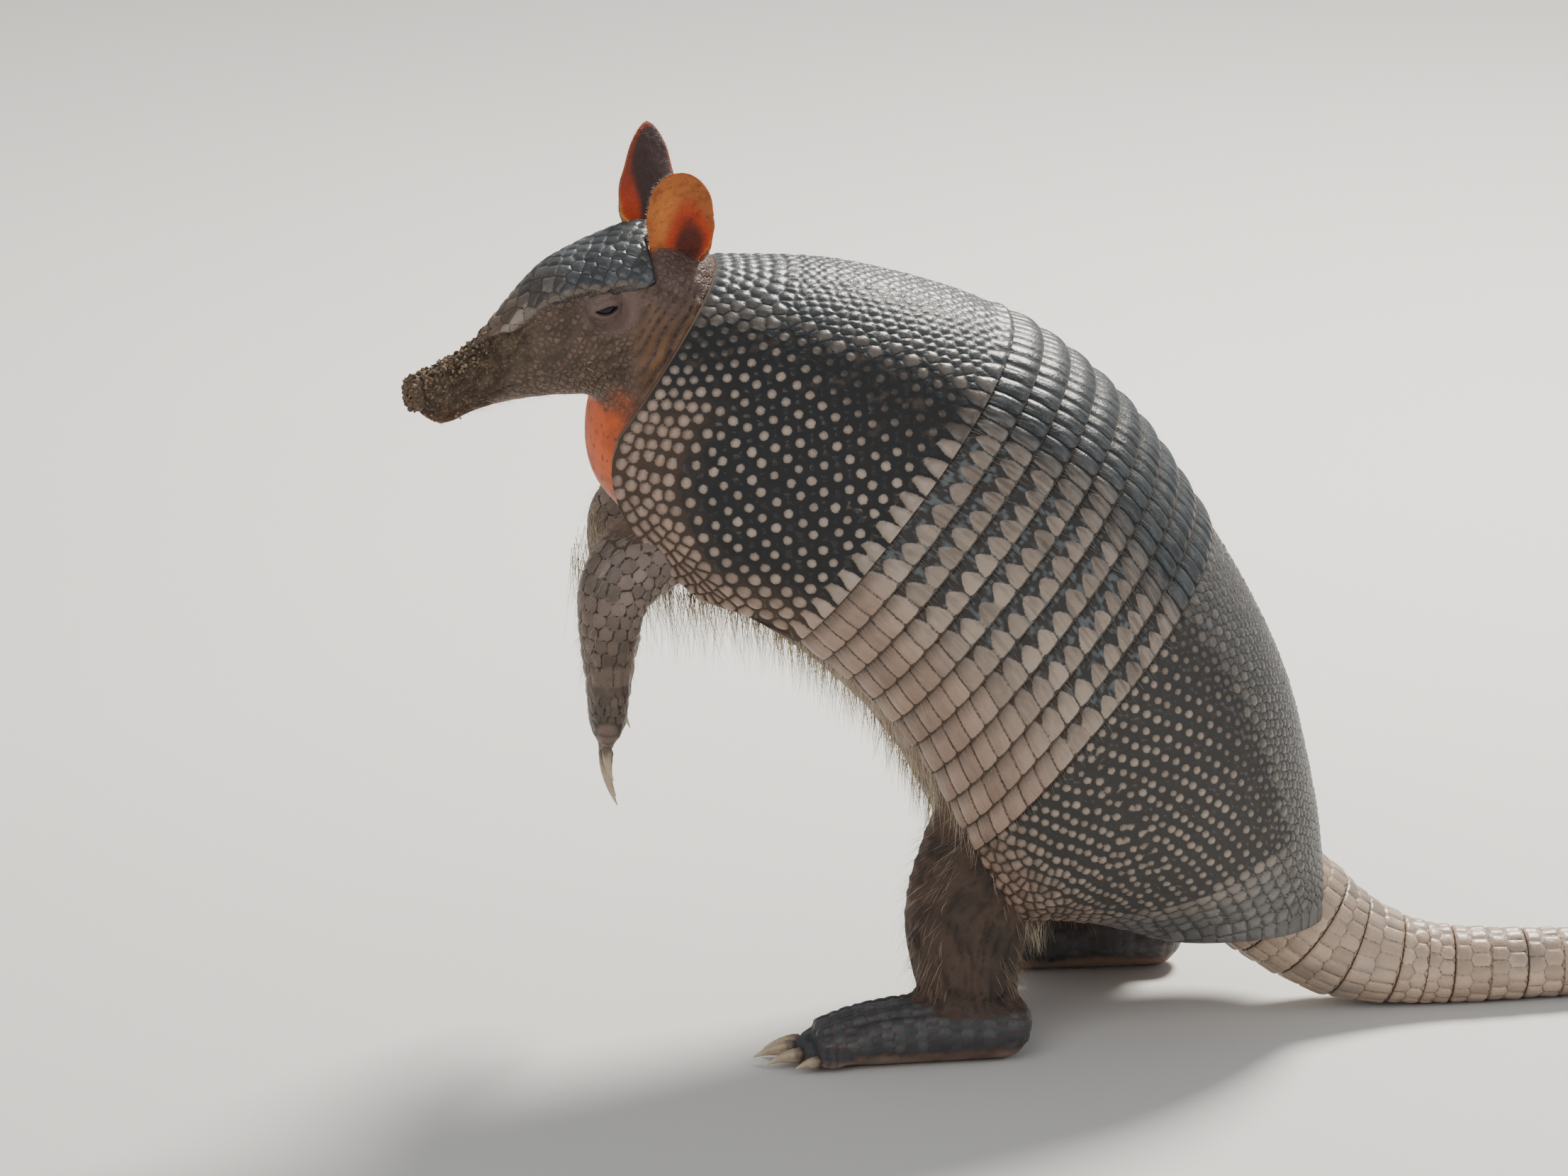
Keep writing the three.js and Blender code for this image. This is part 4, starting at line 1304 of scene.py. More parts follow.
@dataclass
class Legs:
    """Rows of the four legs, and their digits."""

    foreleg: tuple = (
        (-70, -26, 162, 14, 11), (-83, -33, 155, 13, 10.5), (-93, -37.5, 145, 11, 10),
        (-95.5, -39, 131, 8.6, 8.8), (-95.5, -39, 119, 6.8, 7.6),
    )
    forepaw: tuple = (
        (-95.5, -39, 118.6, 6.2, 7.2), (-95.8, -38.8, 112, 6.2, 8.6),
        (-96, -38.5, 105, 5.4, 9.4), (-96.2, -38.2, 101.5, 4.4, 9),
    )
    hindleg: tuple = (
        (30, -23, 70, 26, 14), (20, -28, 56, 24, 14), (12, -33.5, 42, 20.5, 13),
        (10, -38.5, 28, 16.5, 11), (12, -41.5, 17, 13.5, 9.8),
    )
    hindfoot: tuple = (
        (29, -42, 7.6, 7, 8), (22, -42.3, 8.8, 9.2, 10.2), (9, -42.6, 9.4, 10, 11.6),
        (-7, -43.2, 8.8, 9.6, 12.4), (-21, -43.8, 7.6, 8.4, 13.2), (-34, -44.2, 5.4, 6, 12.6),
    )
    # sideways place of each digit, how far it reaches, its radius, claw length and claw radius
    fore_digits: tuple = (
        (-6.6, 3.2, 2.3, 9.5, 1.7),
        (-2.4, 5.6, 2.9, 16, 2.4),
        (2.6, 5.2, 2.9, 15, 2.3),
        (6.8, 2.4, 2.2, 8, 1.6),
    )
    hind_digits: tuple = (
        (-10.2, 1.5, 3, 7, 2.1),
        (-5.3, 6.5, 3.8, 10, 2.7),
        (0, 8.5, 4.1, 11.5, 2.9),
        (5.3, 6.5, 3.8, 10, 2.7),
        (10.2, 0.5, 3, 7, 2.1),
    )
    arm_back: float = 8.0
    foot_back: float = 54.0

    def arm(self, side: Side) -> Limb:
        """The foreleg, from the shoulder to the wrist."""
        return Limb(stride(self.foreleg, self.arm_back * (side is Side.RIGHT), 0.6, 1), side)

    def paw(self, side: Side) -> Limb:
        """The fore paw."""
        return Limb(stride(self.forepaw, self.arm_back * (side is Side.RIGHT), 1, 1), side)

    def leg(self, side: Side) -> Limb:
        """The hind leg, from the knee to the ankle."""
        return Limb(stride(self.hindleg, self.foot_back * (side is Side.RIGHT), 0.45, 1), side)

    def foot(self, side: Side) -> Limb:
        """The hind foot, from the heel to the toes' roots."""
        return Limb(stride(self.hindfoot, self.foot_back * (side is Side.RIGHT), 1, 1), side)

    def digits(self, side: Side, fore: bool) -> list[tuple[Limb, Array, Array, Array, float, float]]:
        """The digits of a paw or a foot.

        Returns:
            For each digit its toe, the claw's root, its way on and its bend (all on the left side),
            and its length and radius.
        """
        rows = (self.paw if fore else self.foot)(side).rows
        end = np.array(rows[-1][:3], float)
        found = []
        for aside, reach, radius, length, horn in self.fore_digits if fore else self.hind_digits:
            fan = aside * 0.018
            if fore:
                root = end + [0, aside, 3]
                way = aim = unit(np.array([-0.06, 0.05, -1.0]))
                bend, run = unit(np.array([0.8, 0, -0.1])), reach + 4
            else:
                root = np.array([end[0] + 6, end[1] + aside, radius + 0.9])
                way, aim = unit(np.array([-1, fan, -0.04])), unit(np.array([-1, fan, 0.03]))
                bend, run = np.array([0, 0, -1.0]), reach + 6
            tip = root + way * run
            middle = (root + tip) / 2
            shape = ((root, 1, 1), (middle, 0.95, 0.98), (tip, 0.8, 0.9))
            toe = tuple((*spot, radius * deep, radius * wide) for spot, deep, wide in shape)
            found.append((Limb(toe, side), tip, aim, bend, length, horn))
        return found


@dataclass
class Ear:
    """One ear: a cupped, round-topped leaf that stands on the crown and opens sideways and forwards.

    A point lies at t up its length and at q across it from -1 to 1. Across, the leaf bends round by
    q times the cup angle, which is wide at the root and flat at the top; its width follows the sine
    of the length raised to a power.
    """

    side: Side
    ahead: float
    root_up: float = 238.8
    length: float = 33.8
    point: float = 1.0
    half_width: float = 10.0
    thickness: float = 1.5
    tilt: float = math.radians(13)
    turned: float = math.radians(74)

    def leaf(self, t: Array, q: Array, back: Array | float) -> Array:
        """Points of the ear at t, q and a depth behind its inner face."""
        t, q, back = np.broadcast_arrays(t, q, back)
        hand = self.side.value
        root = head_point(self.ahead, hand * 10.5, self.root_up)
        opens = self.opening()
        edge = hand * np.array([opens[1], -opens[0], 0])
        up = np.array([0, -hand * math.sin(self.tilt), math.cos(self.tilt)])
        arch = 0.36 + 0.64 * np.sin(math.pi * np.minimum(t, 0.994) ** 0.9) ** 0.62
        dome = np.sqrt(np.maximum(1 - np.clip((t - 0.55) / 0.45, 0, 1) ** 2.3, 0.0016))
        leaf = np.maximum(1 - np.clip((t - 0.42) / 0.58, 0, 1) ** 1.7, 0.004) ** 0.75
        dome = dome + (leaf - dome) * self.point
        width = self.half_width * np.minimum(np.where(t > 0.6, 1.02, arch), dome)
        width = width * (1 + 0.018 * np.sin(q * 9 + t * 21))
        cup = 1.15 - 0.75 * t
        bend = q * cup
        aside = width * np.sin(bend) / np.sin(np.maximum(cup, 0.4)) - back * np.sin(bend)
        deep = width * (0.75 - np.cos(bend)) * cup * 0.8 - back * np.cos(bend)
        rise = self.length * (t - 0.09 * t * q * q * (1 - smooth(t, 0.62, 1.0)))
        return root + up * rise[..., None] + edge * aside[..., None] + opens * deep[..., None]

    def opening(self) -> Array:
        """The way the ear opens."""
        turn = HEAD_YAW * self.side.value + self.turned
        return np.array([-math.cos(turn), -self.side.value * math.sin(turn), 0.0])

    def grid(self, rings: int, across: int) -> tuple[Array, Array, Array, Array]:
        """The closed ear.

        Args:
            rings: how many along its length.
            across: points across each face.

        Returns:
            rings x round x 3 points, and t, q and the face (0 inner, 1 back) of each.
        """
        t = np.sin(np.linspace(0, 1, rings) * math.pi / 2)[:, None] ** 1.12
        q = np.linspace(-1, 1, across)
        way = np.concatenate([q, q[::-1]])[None]
        face = np.concatenate([np.zeros(across), np.ones(across)])[None]
        t, way, face = np.broadcast_arrays(t, way, face)
        edge = np.sqrt(np.clip(1 - np.abs(way) ** 6, 0.0, 1))
        top = np.sqrt(np.clip(1 - t**10, 0.05, 1))
        roll = 0.5 * np.abs(way) ** 5 * (1 - face)
        depth = self.thickness * (0.5 + (face - 0.5) * (0.25 + 0.75 * edge) * top) - roll
        return self.leaf(t, way * 0.995, depth), t, way, face


@dataclass(frozen=True)
class SkinColours:
    """Colours of the bare skin and its small scales, region by region."""

    face: Colour = (0.150, 0.098, 0.068)
    lid: Colour = (0.180, 0.118, 0.102)
    fold: Colour = (0.150, 0.090, 0.066)
    nape: Colour = (0.125, 0.078, 0.064)
    throat: Colour = (0.74, 0.130, 0.028)
    jaw: Colour = (0.235, 0.115, 0.050)
    mud: Colour = (0.115, 0.076, 0.048)
    mud_dry: Colour = (0.185, 0.128, 0.082)
    arm: Colour = (0.046, 0.030, 0.022)
    arm_scale: Colour = (0.225, 0.170, 0.142)
    wrist_scale: Colour = (0.118, 0.082, 0.062)
    paw_scale: Colour = (0.088, 0.068, 0.056)
    foot_scale: Colour = (0.060, 0.061, 0.065)
    sole: Colour = (0.105, 0.066, 0.052)
    thigh: Colour = (0.090, 0.054, 0.038)
    belly: Colour = (0.30, 0.205, 0.16)
    toe: Colour = (0.34, 0.225, 0.18)
    # The ears' rim orange, glow and red stand for light shining through the thin ear: painted glow. The cup's
    # near-black is painted shade deep in the cup.
    ear_rim_backlit: Colour = (0.44, 0.128, 0.030)
    ear_backlit_glow: Colour = (0.70, 0.225, 0.045)
    ear_backlit_red: Colour = (0.50, 0.058, 0.014)
    ear_cup_shade: Colour = (0.11, 0.022, 0.012)
    ear_back: Colour = (0.060, 0.030, 0.026)


@dataclass
class Flesh:
    """One skin over the trunk, neck, head, ears, legs and paws, under and between the plates."""

    shell: Shell
    finish: Finish
    head: HeadForm = field(default_factory=HeadForm)
    legs: Legs = field(default_factory=Legs)
    tint: SkinColours = field(default_factory=SkinColours)
    voxel: float = 1.88
    inset: float = 5.0
    ear_grid: tuple[int, int] = (58, 32)
    neck_rows: tuple = (
        (-44, 214, -76, 146, 33), (-56, 226, -97, 168, 31),
        (-62, 233, -100, 188, 27), (-64, 239, -94, 203, 19),
    )

    @property
    def ears(self) -> list[Ear]:
        """Both ears; the right one is pricked further forwards."""
        return [Ear(Side.LEFT, 0.8, 235.8, 30.6, 0.0), Ear(Side.RIGHT, 4.2, point=0.75)]

    def trunk(self) -> Array:
        """Rings of the trunk's flesh: the hide, lowered, and rounded in front towards the neck."""
        shell = self.shell
        angle = np.linspace(-180, 180, 97)[1:][None]
        turn = np.maximum(0, np.abs(angle) - shell.edge_angle) / (180 - shell.edge_angle)
        chest = shell.collar(angle) + 7 - 33 * turn
        front = [(chest - 5.5, -13.0), (chest - 4.5, -9.5), (chest - 2.5, -6.6), (chest, -self.inset)]
        start, stop = shell.shoulder_rear, shell.rump_rear - 4
        blend = [(chest * (1 - t) + start * t, -self.inset) for t in np.linspace(0, 1, 9)[1:]]
        rest = [(np.full_like(chest, d), -self.inset) for d in np.linspace(start, stop, 26)[1:]]
        tail = [(np.full_like(chest, stop + on), -self.inset - down) for on, down in ((1.2, 3), (1.8, 9))]
        rings = [shell.hide.point(d, angle, lift)[0] for d, lift in (*front, *blend, *rest, *tail)]
        return np.stack(rings)

    def neck(self) -> Array:
        """Rings of the neck, between a ridge line and a throat line."""
        t = np.linspace(0, 3, 16)[:, None]
        top_x, top_z, low_x, low_z, wide = np.moveaxis(rows_at(numbered(self.neck_rows), t), -1, 0)
        turn = np.radians(np.linspace(-180, 180, 65)[1:])[None]
        share = (1 + power(np.cos(turn), 0.95)) / 2
        bend = np.where(t > 2, (t - 2) * -4, 0)
        x = low_x + (top_x - low_x) * share
        z = low_z + (top_z - low_z) * share
        return np.stack([x, -wide * power(np.sin(turn), 0.92) + bend, z], -1)

    def skull(self) -> Array:
        """Rings of the head, closing in a dome at both ends."""
        ahead = np.linspace(*HEAD_ENDS, 70)[:, None]
        angle = np.linspace(-180, 180, 73)[1:][None]
        return self.head.surface(ahead, angle)

    def bodies(self) -> list[Array]:
        """Every closed body that the skin joins."""
        found = [self.trunk(), self.neck(), self.skull()]
        for side in Side:
            legs = self.legs
            found += [legs.arm(side).grid(30, 40), legs.paw(side).grid(16, 40)]
            found += [legs.leg(side).grid(30, 48), legs.foot(side).grid(40, 40, 0.0, 0.16)]
            for fore in (True, False):
                found += [digit[0].grid(14, 20, 0.3) for digit in legs.digits(side, fore)]
        return found

    def joined(self) -> Piece:
        """The bodies merged by a voxel remesh into one closed skin, fine where the looks need it."""
        sheet = Sheet()
        for grid in self.bodies():
            sheet.add(*tube(outward(grid)))
        body = sheet.build("skin")
        body.data.uv_layers.remove(body.data.uv_layers[0])
        remesh = body.modifiers.new("merge", "REMESH")
        remesh.mode = "VOXEL"
        remesh.voxel_size = self.voxel * MM
        apply_modifiers(body)
        refine(body, self.fine_parts)
        relax(body, 6)
        refine(body, self.lids)
        relax(body, 3, self.lids)
        for ear in self.ears:
            cutter = solid("ear", ear.grid(*self.ear_grid)[0])
            cutter.data.uv_layers.remove(cutter.data.uv_layers[0])
            union = body.modifiers.new("ear", "BOOLEAN")
            union.operation = "UNION"
            union.solver = "MANIFOLD"
            union.object = cutter
            apply_modifiers(body)
            bpy.data.objects.remove(cutter)
        relax(body, 5, self.ear_roots)
        return body

    def fine_parts(self, points: Array) -> Array:
        """Whether points lie on the face, throat, legs or paws, where the skin shows."""
        ahead, left, up = head_place(points)
        angle = np.abs(self.head.angle(ahead, left, up))
        head = (ahead > -4) & (up > 188) & ((angle > 45) | (ahead > 54))
        throat = (points[:, 0] < -88) & (points[:, 2] > 150)
        low = (points[:, 2] < 44) & (points[:, 0] < 92) & (np.abs(points[:, 1]) > 20)
        arms = (points[:, 0] < -74) & (points[:, 2] < 156) & (np.abs(points[:, 1]) > 24)
        return head | throat | low | arms

    def lids(self, points: Array) -> Array:
        """Whether points lie round an eye."""
        near = [np.linalg.norm(points - self.eye(side), axis=1) for side in Side]
        return np.minimum(*near) < 7.5

    def ear_roots(self, points: Array) -> Array:
        """Whether points lie where an ear meets the head."""
        ahead, left, up = head_place(points)
        return (up > 240) & (up < 248) & (np.hypot(ahead - 2, np.abs(left) - 10.5) < 9)

    def eye(self, side: Side) -> Array:
        """The middle of an eyeball."""
        ahead, left, up = EYE_PLACE
        return head_point(ahead, left * side.value, up)

    def build(self) -> None:
        """Builds the skin, sculpts its folds and scales, and paints it."""
        body = self.joined()
        points = read_points(body)
        normals = read(body.data.vertex_normals, "vector", 3).astype(float)
        model = Sculpt(points, normals)
        self.sculpt_body(model)
        self.sculpt_limbs(model)
        self.sculpt_head(model)
        self.sculpt_ears(model)
        places = points + normals * model.height[:, None]
        places = self.set_lids(places, model)
        places[:, 2] = np.maximum(places[:, 2], 0)
        write_points(body, places)
        for label in ("rim", "inside", "between", "beads", "mud"):
            paint_vertices(body.data, label, getattr(model, label))
        body.data.polygons.foreach_set("use_smooth", np.ones(len(body.data.polygons), bool))
        nodes = ["trunk", "neck", "head", "ear_left", "ear_right"]
        for part in ("foreleg", "forepaw", "hindleg", "hindfoot"):
            nodes += [f"{part}_left", f"{part}_right"]
        dress(body, self.finish, "skin", *nodes)

    def sculpt_body(self, model: "Sculpt") -> None:
        """Belly and neck: rows of small warts below, soft folds round the neck."""
        p = model.points
        tint = self.tint
        base = blended(tint.belly, tint.fold, smooth(layered(p, 14, 3), -0.4, 0.6))
        model.colour(np.ones(len(p)), base)
        trunk = smooth(p[:, 0], -92, -80) * smooth(p[:, 2], 34, 44)
        rows = np.sin(p[:, 0] * 0.95 + p[:, 2] * 1.1 + noise(p, 16, 4) * 0.8)
        model.raise_(trunk * (0.22 * rows + 0.10 * layered(p, 5, 6)))
        ahead, _, up = head_place(p)
        neck = smooth(p[:, 0], -44, -58) * smooth(p[:, 2], 172, 186)
        neck = neck * smooth(ahead, 2, -5) * smooth(up, 250, 243)
        model.colour(neck, blended(tint.nape, tint.fold, smooth(layered(p, 5, 14), -0.2, 0.6)))
        model.raise_(neck * 0.20 * noise(p, 1.9, 15))
        model.beads = np.maximum(model.beads, 0.8 * neck)

    def sculpt_limbs(self, model: "Sculpt") -> None:
        """Scales on the arms and feet, and fine folds down the thighs."""
        p = model.points
        tint = self.tint
        for side in Side:
            legs = self.legs
            high = smooth(p[:, 2], 166, 156)
            foot_top = smooth(p[:, 2] + noise(p, 4, 5), 2.5, 6.5)
            for limb, pitch, skin, scales, raise_by, keep in (
                (legs.arm(side), 4.2, tint.arm, (tint.arm_scale, tint.wrist_scale), 0.42, high),
                (legs.paw(side), 3.2, tint.arm, (tint.wrist_scale, tint.paw_scale), 0.32, high),
                (legs.foot(side), 3.9, tint.sole, (tint.foot_scale, tint.foot_scale), 0.46, foot_top),
            ):
                model.scales(limb, pitch, skin, scales, raise_by, keep)
            foot = legs.foot(side)
            t, far, _ = foot.place(p)
            own = smooth(far, 1.45, 1.15) * smooth(t, 1.4, 3.4) * smooth(p[:, 2], 4, 8) * foot.mine(p)
            aside = (p[:, 1] * side.value + 44) * (13.2 / rows_at(numbered(foot.rows), t)[:, 4])
            groove = sum(hump(aside, middle, 1.0) for middle in (-7.8, -2.6, 2.6, 7.8))
            model.raise_(own * (0.35 - 1.25 * groove))
            leg = legs.leg(side)
            t, far, angle = leg.place(p)
            own = smooth(far, 1.45, 1.15) * smooth(p[:, 2], 13, 19) * smooth(p[:, 2], 74, 64) * leg.mine(p)
            place = np.stack([angle * 0.15 + noise(p, 9, 33), t * 0.9 + angle * 0.012, t * 0], 1)
            folds = layered(place, 1.0, 12, 2)
            line = smooth(np.abs(folds), 0.20, 0.0)
            skin = blended(tint.thigh, tint.arm, smooth(layered(p, 9, 34), -0.1, 0.6))
            # The fold lines are darkened: painted shade in the creases.
            model.bare(own, skin * (1 - 0.45 * line)[:, None], 0.0)
            model.raise_(own * (0.34 * folds - 0.40 * line + 0.10 * layered(p, 3, 8)))
            for fore in (True, False):
                for toe, *_ in legs.digits(side, fore):
                    t, far, angle = toe.place(p, 24)
                    own = smooth(far, 1.6, 1.2) * toe.mine(p)
                    top = smooth(p[:, 2], 2.0, 4.5) if not fore else np.full(len(p), 0.6)
                    plates = 0.5 + 0.5 * np.sin(t * 9.0)
                    skin = blended(tint.toe, tint.paw_scale if fore else tint.foot_scale, top)
                    model.bare(own, skin * (0.6 + 0.4 * smooth(plates, 0.1, 0.4))[:, None])
                    model.raise_(own * 0.22 * smooth(plates, 0.0, 0.5) * top)

    def sculpt_head(self, model: "Sculpt") -> None:
        """Beads on the face, folds from the jaw to the ear, the throat, the mouth and the snout's mud."""
        p = model.points
        tint = self.tint
        ahead, left, up = head_place(p)
        own = smooth(ahead, -8, 0) * smooth(up, 186, 193)
        jaw = smooth(ahead, 19, 13) * smooth(up, 240, 232)
        crease = ahead + 0.72 * (up - 198) + noise(p, 11, 13) * 1.5 + noise(p, 4, 16) * 0.35
        ridge = np.abs(np.sin(crease * math.pi / 3.5))
        line = smooth(ridge, 0.34, 0.0)
        beads = noise(np.stack([crease * 0.5, up * 0.34, left * 0.0], 1), 1.0, 18)
        skin = blended(tint.face, tint.fold, smooth(ahead, 24, 8))
        skin = blended(skin, tint.jaw, jaw * smooth(ridge, 0.5, 1.0) * smooth(up, 232, 214))
        # The grooves between the folds are darkened: painted shade in the creases.
        skin = skin * (1 - 0.62 * jaw * line)[:, None]
        skin = skin * (0.80 + 0.36 * smooth(beads, -0.5, 0.5))[:, None]
        nape = smooth(ahead + noise(p, 5, 35) * 2, 15, 7) * smooth(up + 0.5 * ahead, 226, 236)
        skin = blended(skin, blended(tint.nape, tint.lid, smooth(layered(p, 4, 36), -0.3, 0.5)), nape)
        model.colour(own, skin)
        model.raise_(own * jaw * (0.55 * (ridge - 0.6) - 0.45 * line + 0.12 * beads))
        model.raise_(own * nape * 0.34 * layered(p, 3.2, 38))
        beaded = own * smooth(ahead, 14, 21)
        model.beads = np.maximum(model.beads, np.maximum(beaded, 0.75 * own * nape))
        model.raise_(beaded * 0.16 * noise(p, 2.6, 55))
        round_eye = np.hypot(ahead - EYE_PLACE[0] + 1.5, (up - EYE_PLACE[2]) * 1.15)
        soft = smooth(round_eye + noise(p, 4, 51) * 1.6, 10.5, 6.0) * (np.abs(left) > 6)
        model.bare(soft, blended(tint.lid, tint.nape, smooth(noise(p, 3, 52), -0.3, 0.5)))
        wrinkle = np.sin(round_eye * 2.6 + noise(p, 3.5, 53) * 2.2)
        model.raise_(soft * 0.13 * wrinkle)
        throat = smooth(p[:, 2], 203, 196) * smooth(p[:, 0], -84, -91)
        throat = throat * smooth(p[:, 2] + noise(p, 9, 56) * 5, 156, 172)
        under = smooth(up, 193, 198)
        throat = throat * (1 - under * smooth(ahead, 18, 25)) * smooth(np.abs(p[:, 1]), 32, 22)
        dots = smooth(noise(p, 1.5, 17), 0.50, 0.72)
        glow = blended(tint.throat, np.asarray(tint.throat) * 0.62, smooth(layered(p, 8, 20), -0.2, 0.6))
        model.bare(throat, glow * (1 - 0.75 * dots)[:, None], 0.8)
        lip = self.head.section(np.clip(ahead, 0, HEAD_ENDS[1]))
        mouth = lip[0] - lip[1] * 0.46 - 0.035 * (ahead - 62)
        gape = hump(up, mouth, 0.7) * smooth(ahead, 47, 54) * own
        model.raise_(-0.75 * gape)
        # The mouth's slit is painted near-black: painted shade in the crease between the lips.
        model.colour(gape * 0.8, np.full((len(p), 3), 0.018))
        top = smooth(up - lip[0], -6, 2)
        dirt = smooth(ahead + layered(p, 7, 19) * 7 + 9 * top, 50, 62) * own
        crumb = smooth(noise(p, 1.2, 23), -0.45, 0.55)
        earth = blended(np.asarray(tint.mud) * 0.7, tint.mud_dry, crumb * (0.35 + 0.65 * top))
        model.bare(dirt, blended(model.between, earth, 0.92 + 0 * dirt), 0.0)
        model.mud = dirt
        model.raise_(dirt * (0.26 * layered(p, 2.2, 29) + 0.22 * crumb * (0.3 + 0.7 * top)))

    def sculpt_ears(self, model: "Sculpt") -> None:
        """Ears: in front, painted glow of light shining through, orange at the rim and red in the cup, with
        painted shade low in the cup; behind, dark pebbled skin with a rim of the same painted red glow.
        """
        tint = self.tint
        p = model.points
        up = head_place(p)[2]
        high = np.flatnonzero(up > 238)
        for ear in self.ears:
            grid, t, q, _ = ear.grid(*self.ear_grid)
            near, _, index = nearest_seeds(p[high], grid.reshape(-1, 3))
            on = smooth(near, 1.6, 0.7)
            t, q = t.ravel()[index], q.ravel()[index]
            facing = (model.normals[high] * ear.opening()).sum(1)
            behind = smooth(facing, 0.15, -0.15)
            drift = noise(p[high], 7, 37) * 0.10
            # Front face: red and orange painted glow of light shining through the ear, round a near-black
            # painted shade low in the cup.
            low = np.hypot((q + 0.25) / 0.62, (t - 0.20) / 0.42) + 1.5 * drift
            glow = hump(q, 0.40, 0.42) * hump(t, 0.52, 0.30)
            cup = blended(tint.ear_cup_shade, tint.ear_backlit_red, smooth(low, 0.45, 0.95))
            cup = blended(cup, blended(tint.ear_rim_backlit, tint.ear_backlit_glow, glow), smooth(low, 0.85, 1.4))
            veins = np.abs(noise(np.stack([q * 5 + t * 2, t * 3, q * 0], 1), 1.0, 47))
            fleck = smooth(noise(p[high], 1.1, 48), 0.1, 0.7) * 0.25
            cup = cup * (0.82 + 0.18 * smooth(veins, 0.0, 0.16) - fleck)[:, None]
            # Back face: its rim and a band along its front edge take the red painted glow of light shining
            # through the ear.
            edge = np.maximum(np.abs(q), smooth(t, 0.8, 1.0))
            front = smooth(q, 0.0, 0.4) * smooth(t, 0.75, 0.3)
            backlit_rim = smooth(edge + drift + 0.42 * front, 0.74, 1.0) * (0.45 + 0.5 * front)
            back = blended(tint.ear_back, tint.ear_backlit_red, backlit_rim)
            full = np.zeros(len(p))
            full[high] = on * smooth(t, 0.02, 0.12)
            colours = np.zeros((len(p), 3))
            colours[high] = blended(cup, back, behind)
            model.bare(full, colours)
            pebble = np.zeros(len(p))
            pebble[high] = 0.16 * behind * noise(p[high], 1.2, 43) * (1 - backlit_rim)
            model.raise_(full * pebble)

    def set_lids(self, places: Array, model: "Sculpt") -> Array:
        """Moves the skin round each eye onto its lids, and out of the way inside the opening.

        The opening is an almond: its half-height falls with the square of the distance from its
        middle. Inside it the skin lies under the eyeball, at its rim it stands over the eyeball by
        a lid's thickness, and further out it runs back into the face.
        """
        ahead, left, up = head_place(places)
        for side in Side:
            along, rise = ahead - EYE_PLACE[0], up - EYE_PLACE[2]
            tilt = rise + 0.16 * along
            off = np.hypot(along, rise)
            gap = 1.15 * (1 - (along / 3.5) ** 2) - np.abs(tilt + 0.1)
            gap = np.where(np.abs(along) < 3.5, gap, -np.abs(along) + 2.9)
            here = (left * side.value > 0) & (off < 8)
            radius = np.where(gap > 0.15, EYE_RADIUS - 0.9, EYE_RADIUS + 0.55)
            radius = radius + 0.35 * hump(gap, -0.35, 0.4) * (gap < 0.15)
            radius = radius + 0.22 * np.sin(gap * 3.4) * smooth(gap, -0.6, -1.2)
            bulge = EYE_PLACE[1] + np.sqrt(np.maximum(radius**2 - off**2, 0.2))
            share = smooth(off, 7.0, 3.6) * here
            moved = left * side.value * (1 - share) + bulge * share
            left = np.where(here, moved * side.value, left)
            ring = share * smooth(off, 7.5, 3.5)
            shade = 1 - 0.93 * smooth(gap, -0.55, 0.1)
            model.bare(ring, np.asarray(self.tint.lid) * shade[:, None])
        return head_point(ahead, left, up)


@dataclass
class Sculpt:
    """A skin being worked: how far each point is raised, and its scales and colours."""

    points: Array
    normals: Array

    def __post_init__(self) -> None:
        """Starts level, without scales."""
        count = len(self.points)
        self.height = np.zeros(count)
        self.rim = np.full(count, -1.0)
        self.inside = np.full((count, 3), 0.2)
        self.between = np.full((count, 3), 0.2)
        self.beads = np.zeros(count)
        self.mud = np.zeros(count)

    def raise_(self, amount: Array) -> None:
        """Raises the skin by millimetres."""
        self.height = self.height + amount

    def colour(self, own: Array, colour: Array) -> None:
        """Colours the skin between scales, as far as own goes from 0 to 1."""
        self.between = blended(self.between, colour, own)

    def bare(self, own: Array, colour: Array, flat: float = 1.0) -> None:
        """Colours the skin, and takes scales, beads and a share of the relief away."""
        self.colour(own, colour)
        self.rim = self.rim - 3 * own
        self.beads = self.beads * (1 - own)
        self.height = self.height * (1 - flat * own)

    def scales(
        self, limb: Limb, pitch: float, skin: Colour, ends: tuple[Colour, Colour], tall: float, where: Array
    ) -> None:
        """Covers a limb with scales, whose colour runs from one to another, and colours its skin."""
        t, far, _ = limb.place(self.points)
        own = smooth(far, 1.35, 1.15) * where * limb.mine(self.points)
        blotch = layered(self.points, 8, 9)
        self.colour(own, np.asarray(skin) * (0.8 + 0.3 * blotch)[:, None])
        scale = blended(*ends, smooth(t / (len(limb.rows) - 1) + 0.15 * blotch, 0.2, 0.9))
        _, wall, cell = nearest_seeds(self.points, limb.seeds(pitch))
        tone = lot(cell, 0, 3)
        rim = (wall - 0.24) * own - (1 - own)
        self.rim = np.maximum(self.rim, rim)
        self.inside = np.where(own[:, None] > 0.01, scale * (0.65 + 0.6 * tone)[:, None], self.inside)
        self.raise_(tall * np.sqrt(np.clip(rim, 0, 1)) * (0.7 + 0.5 * tone))


def read(items: bpy.types.bpy_prop_collection, label: str, width: int, kind: type = np.float32) -> Array:
    """A property of every item of a mesh, as one row of that width for each."""
    flat = np.empty(len(items) * width, kind)
    items.foreach_get(label, flat)
    return flat.reshape(-1, width)


def read_points(obj: Piece) -> Array:
    """A mesh's vertices in the animal's millimetres."""
    return read(obj.data.vertices, "co", 3).astype(float) / MM - SHIFT


def write_points(obj: Piece, points: Array) -> None:
    """Puts vertices back from the animal's millimetres."""
    obj.data.vertices.foreach_set("co", ((points + SHIFT) * MM).ravel().astype(np.float32))
    obj.data.update()


